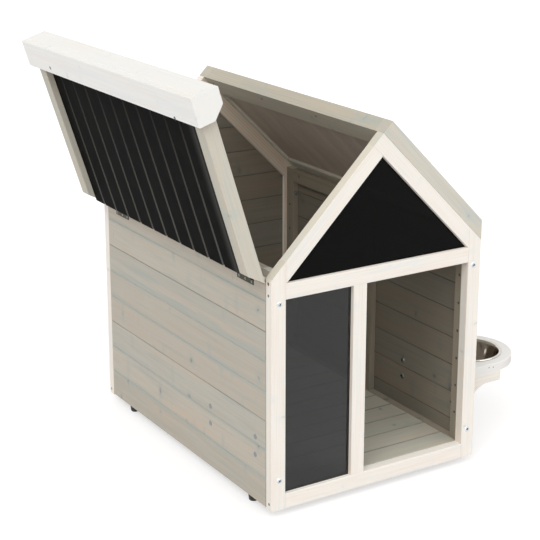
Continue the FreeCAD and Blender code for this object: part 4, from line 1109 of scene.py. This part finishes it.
sheet_start = VERGE_W + SIDE_PLAY
last_groove_y = FIRST_GROOVE_Y + GROOVE_PITCH * (GROOVES - 1)
sheet_plan = [
    ("right_ribbed_sheet", "right_roof_sheet", RIGHT_PANEL, "root", SLOPE_LENGTH, FIRST_GROOVE_Y, 1.0, 0),
    ("lid_ribbed_sheet", "lid_sheet", LID_PANEL, "lid", SLOPE_LENGTH - LID_RIDGE_PLAY,
     DEPTH - last_groove_y, -1.0, GROOVES - 1),
]
for name, node, panel, body, ridge, first, side, unlit in sheet_plan:
    seat = panel @ Matrix.Translation((sheet_start, SHEET_LOW, SHEET_TOP)) @ Matrix.Scale(1 / MM, 4)
    sizes = {
        "run": (ridge - RIDGE_UPSTAND - SHEET_LOW) * MM, "first_groove": (first - sheet_start) * MM,
        "groove_highlight_side": side, "unlit_groove": unlit,
    }
    empty = bpy.data.meshes.new("plane")
    grow(name, empty, ribs, black_sheet, body, [node], SHEET_CREASE, seat, sizes)

# %% [markdown]
# The steel bowl is spun on a lathe and the plastic feet are round too, so Blender turns both: a
# profile is drawn once, in radius and height, and spun round its axis.

# %% Turned pieces
TURN_STEPS = 72
TURNED_CREASE = 40.0


def turn_profiles(name, profile, axes, finish):
    """Spins the same profile round an upright axis through each of the given points."""
    turned = bmesh.new()
    for x, y, z in axes:
        points = [turned.verts.new(house(x + radius, y, z + height)) for radius, height in profile]
        edges = [turned.edges.new(pair) for pair in zip(points, points[1:])]
        bmesh.ops.spin(turned, geom=points + edges, cent=house(x, y, z), axis=(0, 0, 1), angle=math.tau,
                       steps=TURN_STEPS, use_merge=True)
    bmesh.ops.remove_doubles(turned, verts=turned.verts, dist=0.02 * MM)
    bmesh.ops.recalc_face_normals(turned, faces=turned.faces)
    mesh = bpy.data.meshes.new(name)
    turned.to_mesh(mesh)
    turned.free()
    mesh.shade_smooth()
    mesh.set_sharp_from_angle(angle=math.radians(TURNED_CREASE))
    dress(mesh, finish)
    return mesh


# %% [markdown]
# The bowl is polished stainless steel. Its rim takes the white of the room. Below the rim the steel is
# painted darker, as a painted reflection of a darker studio, and the inside looks darker still because one
# wall mirrors the other. A point's height says where the painted dark reflection begins.

# %% Polished steel
BOWL_SEAT = (421.0, 179.0, 202.3)
# Depths below the seat over which the painted dark reflection comes in.
DARK_REFLECTION_DEPTHS = (-1.0, -8.0)
STEEL_MARK_MM = 40.0

polished_steel, tree, where = new_finish("polished_stainless_steel")
drift = add(tree, "TexNoise", {
    "Vector": where["Object"], "Scale": 1 / (STEEL_MARK_MM * MM), "Detail": 3.0,
}).outputs["Fac"]
height = add(tree, "SeparateXYZ", {"Vector": where["Object"]}).outputs["Z"]
rim, dark_reflection_full = (HOUSE_ZERO.z + (BOWL_SEAT[2] + below) * MM for below in DARK_REFLECTION_DEPTHS)
surface = paint_layers(tree, colour("#dedad3"), [
    (drift, 0.35, 0.65, 1.0, colour("#d0cbc3")),
    # Painted reflection: the steel darkens below the rim.
    (height, rim, dark_reflection_full, 1.0, colour("#a29b93")),
])
shine = add(tree, "MapRange", {"Value": drift, "To Min": 0.05, "To Max": 0.08})
close_finish(tree, {"Base Color": surface, "Metallic": 1.0, "Roughness": shine})
# The height printed here is where the painted dark reflection is full.
print("the polish ends", round(dark_reflection_full, 4), "metres up")

# %% [markdown]
# The bowl rolls over at the rim, rests on the shelf with a flat flange and has a round bend
# above its floor. It is an open shell that gets the thickness of the steel afterwards.

# %% The food bowl
BOWL_PROFILE = (
    (90.0, 0.5), (90.1, 1.6), (89.2, 2.5), (87.4, 2.6), (85.0, 2.4), (83.0, 1.6), (82.0, 0.2), (80.6, -6.0),
    (75.0, -24.0), (67.5, -44.0), (63.0, -51.5), (56.0, -55.6), (48.0, -56.9), (30.0, -57.0), (0.0, -57.0),
)
BOWL_WALL = 0.8

bowl_mesh = turn_profiles("steel_bowl", BOWL_PROFILE, [BOWL_SEAT], polished_steel)
steel_bowl = keep_piece("steel_bowl", bowl_mesh, "bowl", ["food_bowl"])
wall = steel_bowl.modifiers.new("steel thickness", "SOLIDIFY")
wall.thickness = BOWL_WALL * MM
wall.offset = 0.0

# %% [markdown]
# The feet are moulded in black plastic: a slow taper, a rounded tread and a recess for the screw
# that holds each foot.

# %% Feet
FOOT_X = 280.0
FOOT_Y = 114.0
FOOT_PROFILE = (
    (0.0, 0.0), (13.2, 0.0), (13.5, -0.6), (11.6, -16.6), (11.1, -18.2), (10.1, -19.4), (8.7, -20.0),
    (4.6, -20.0), (4.3, -19.6), (4.3, -11.5), (0.0, -11.5),
)
foot_places = [(x, y, 0.0) for x in (-FOOT_X, FOOT_X) for y in (FOOT_Y, DEPTH - FOOT_Y)]
feet_mesh = turn_profiles("turned_feet", FOOT_PROFILE, foot_places, black_plastic)
keep_piece("turned_feet", feet_mesh, "root", ["feet"])

# %% The sizes of the CAD and the visual model
low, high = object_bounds()
sizes = {"cad": [list(cad_low), list(cad_high)], "visual": [list(low), list(high)]}
print("visual box, metres:", [round(side, 4) for side in high - low])
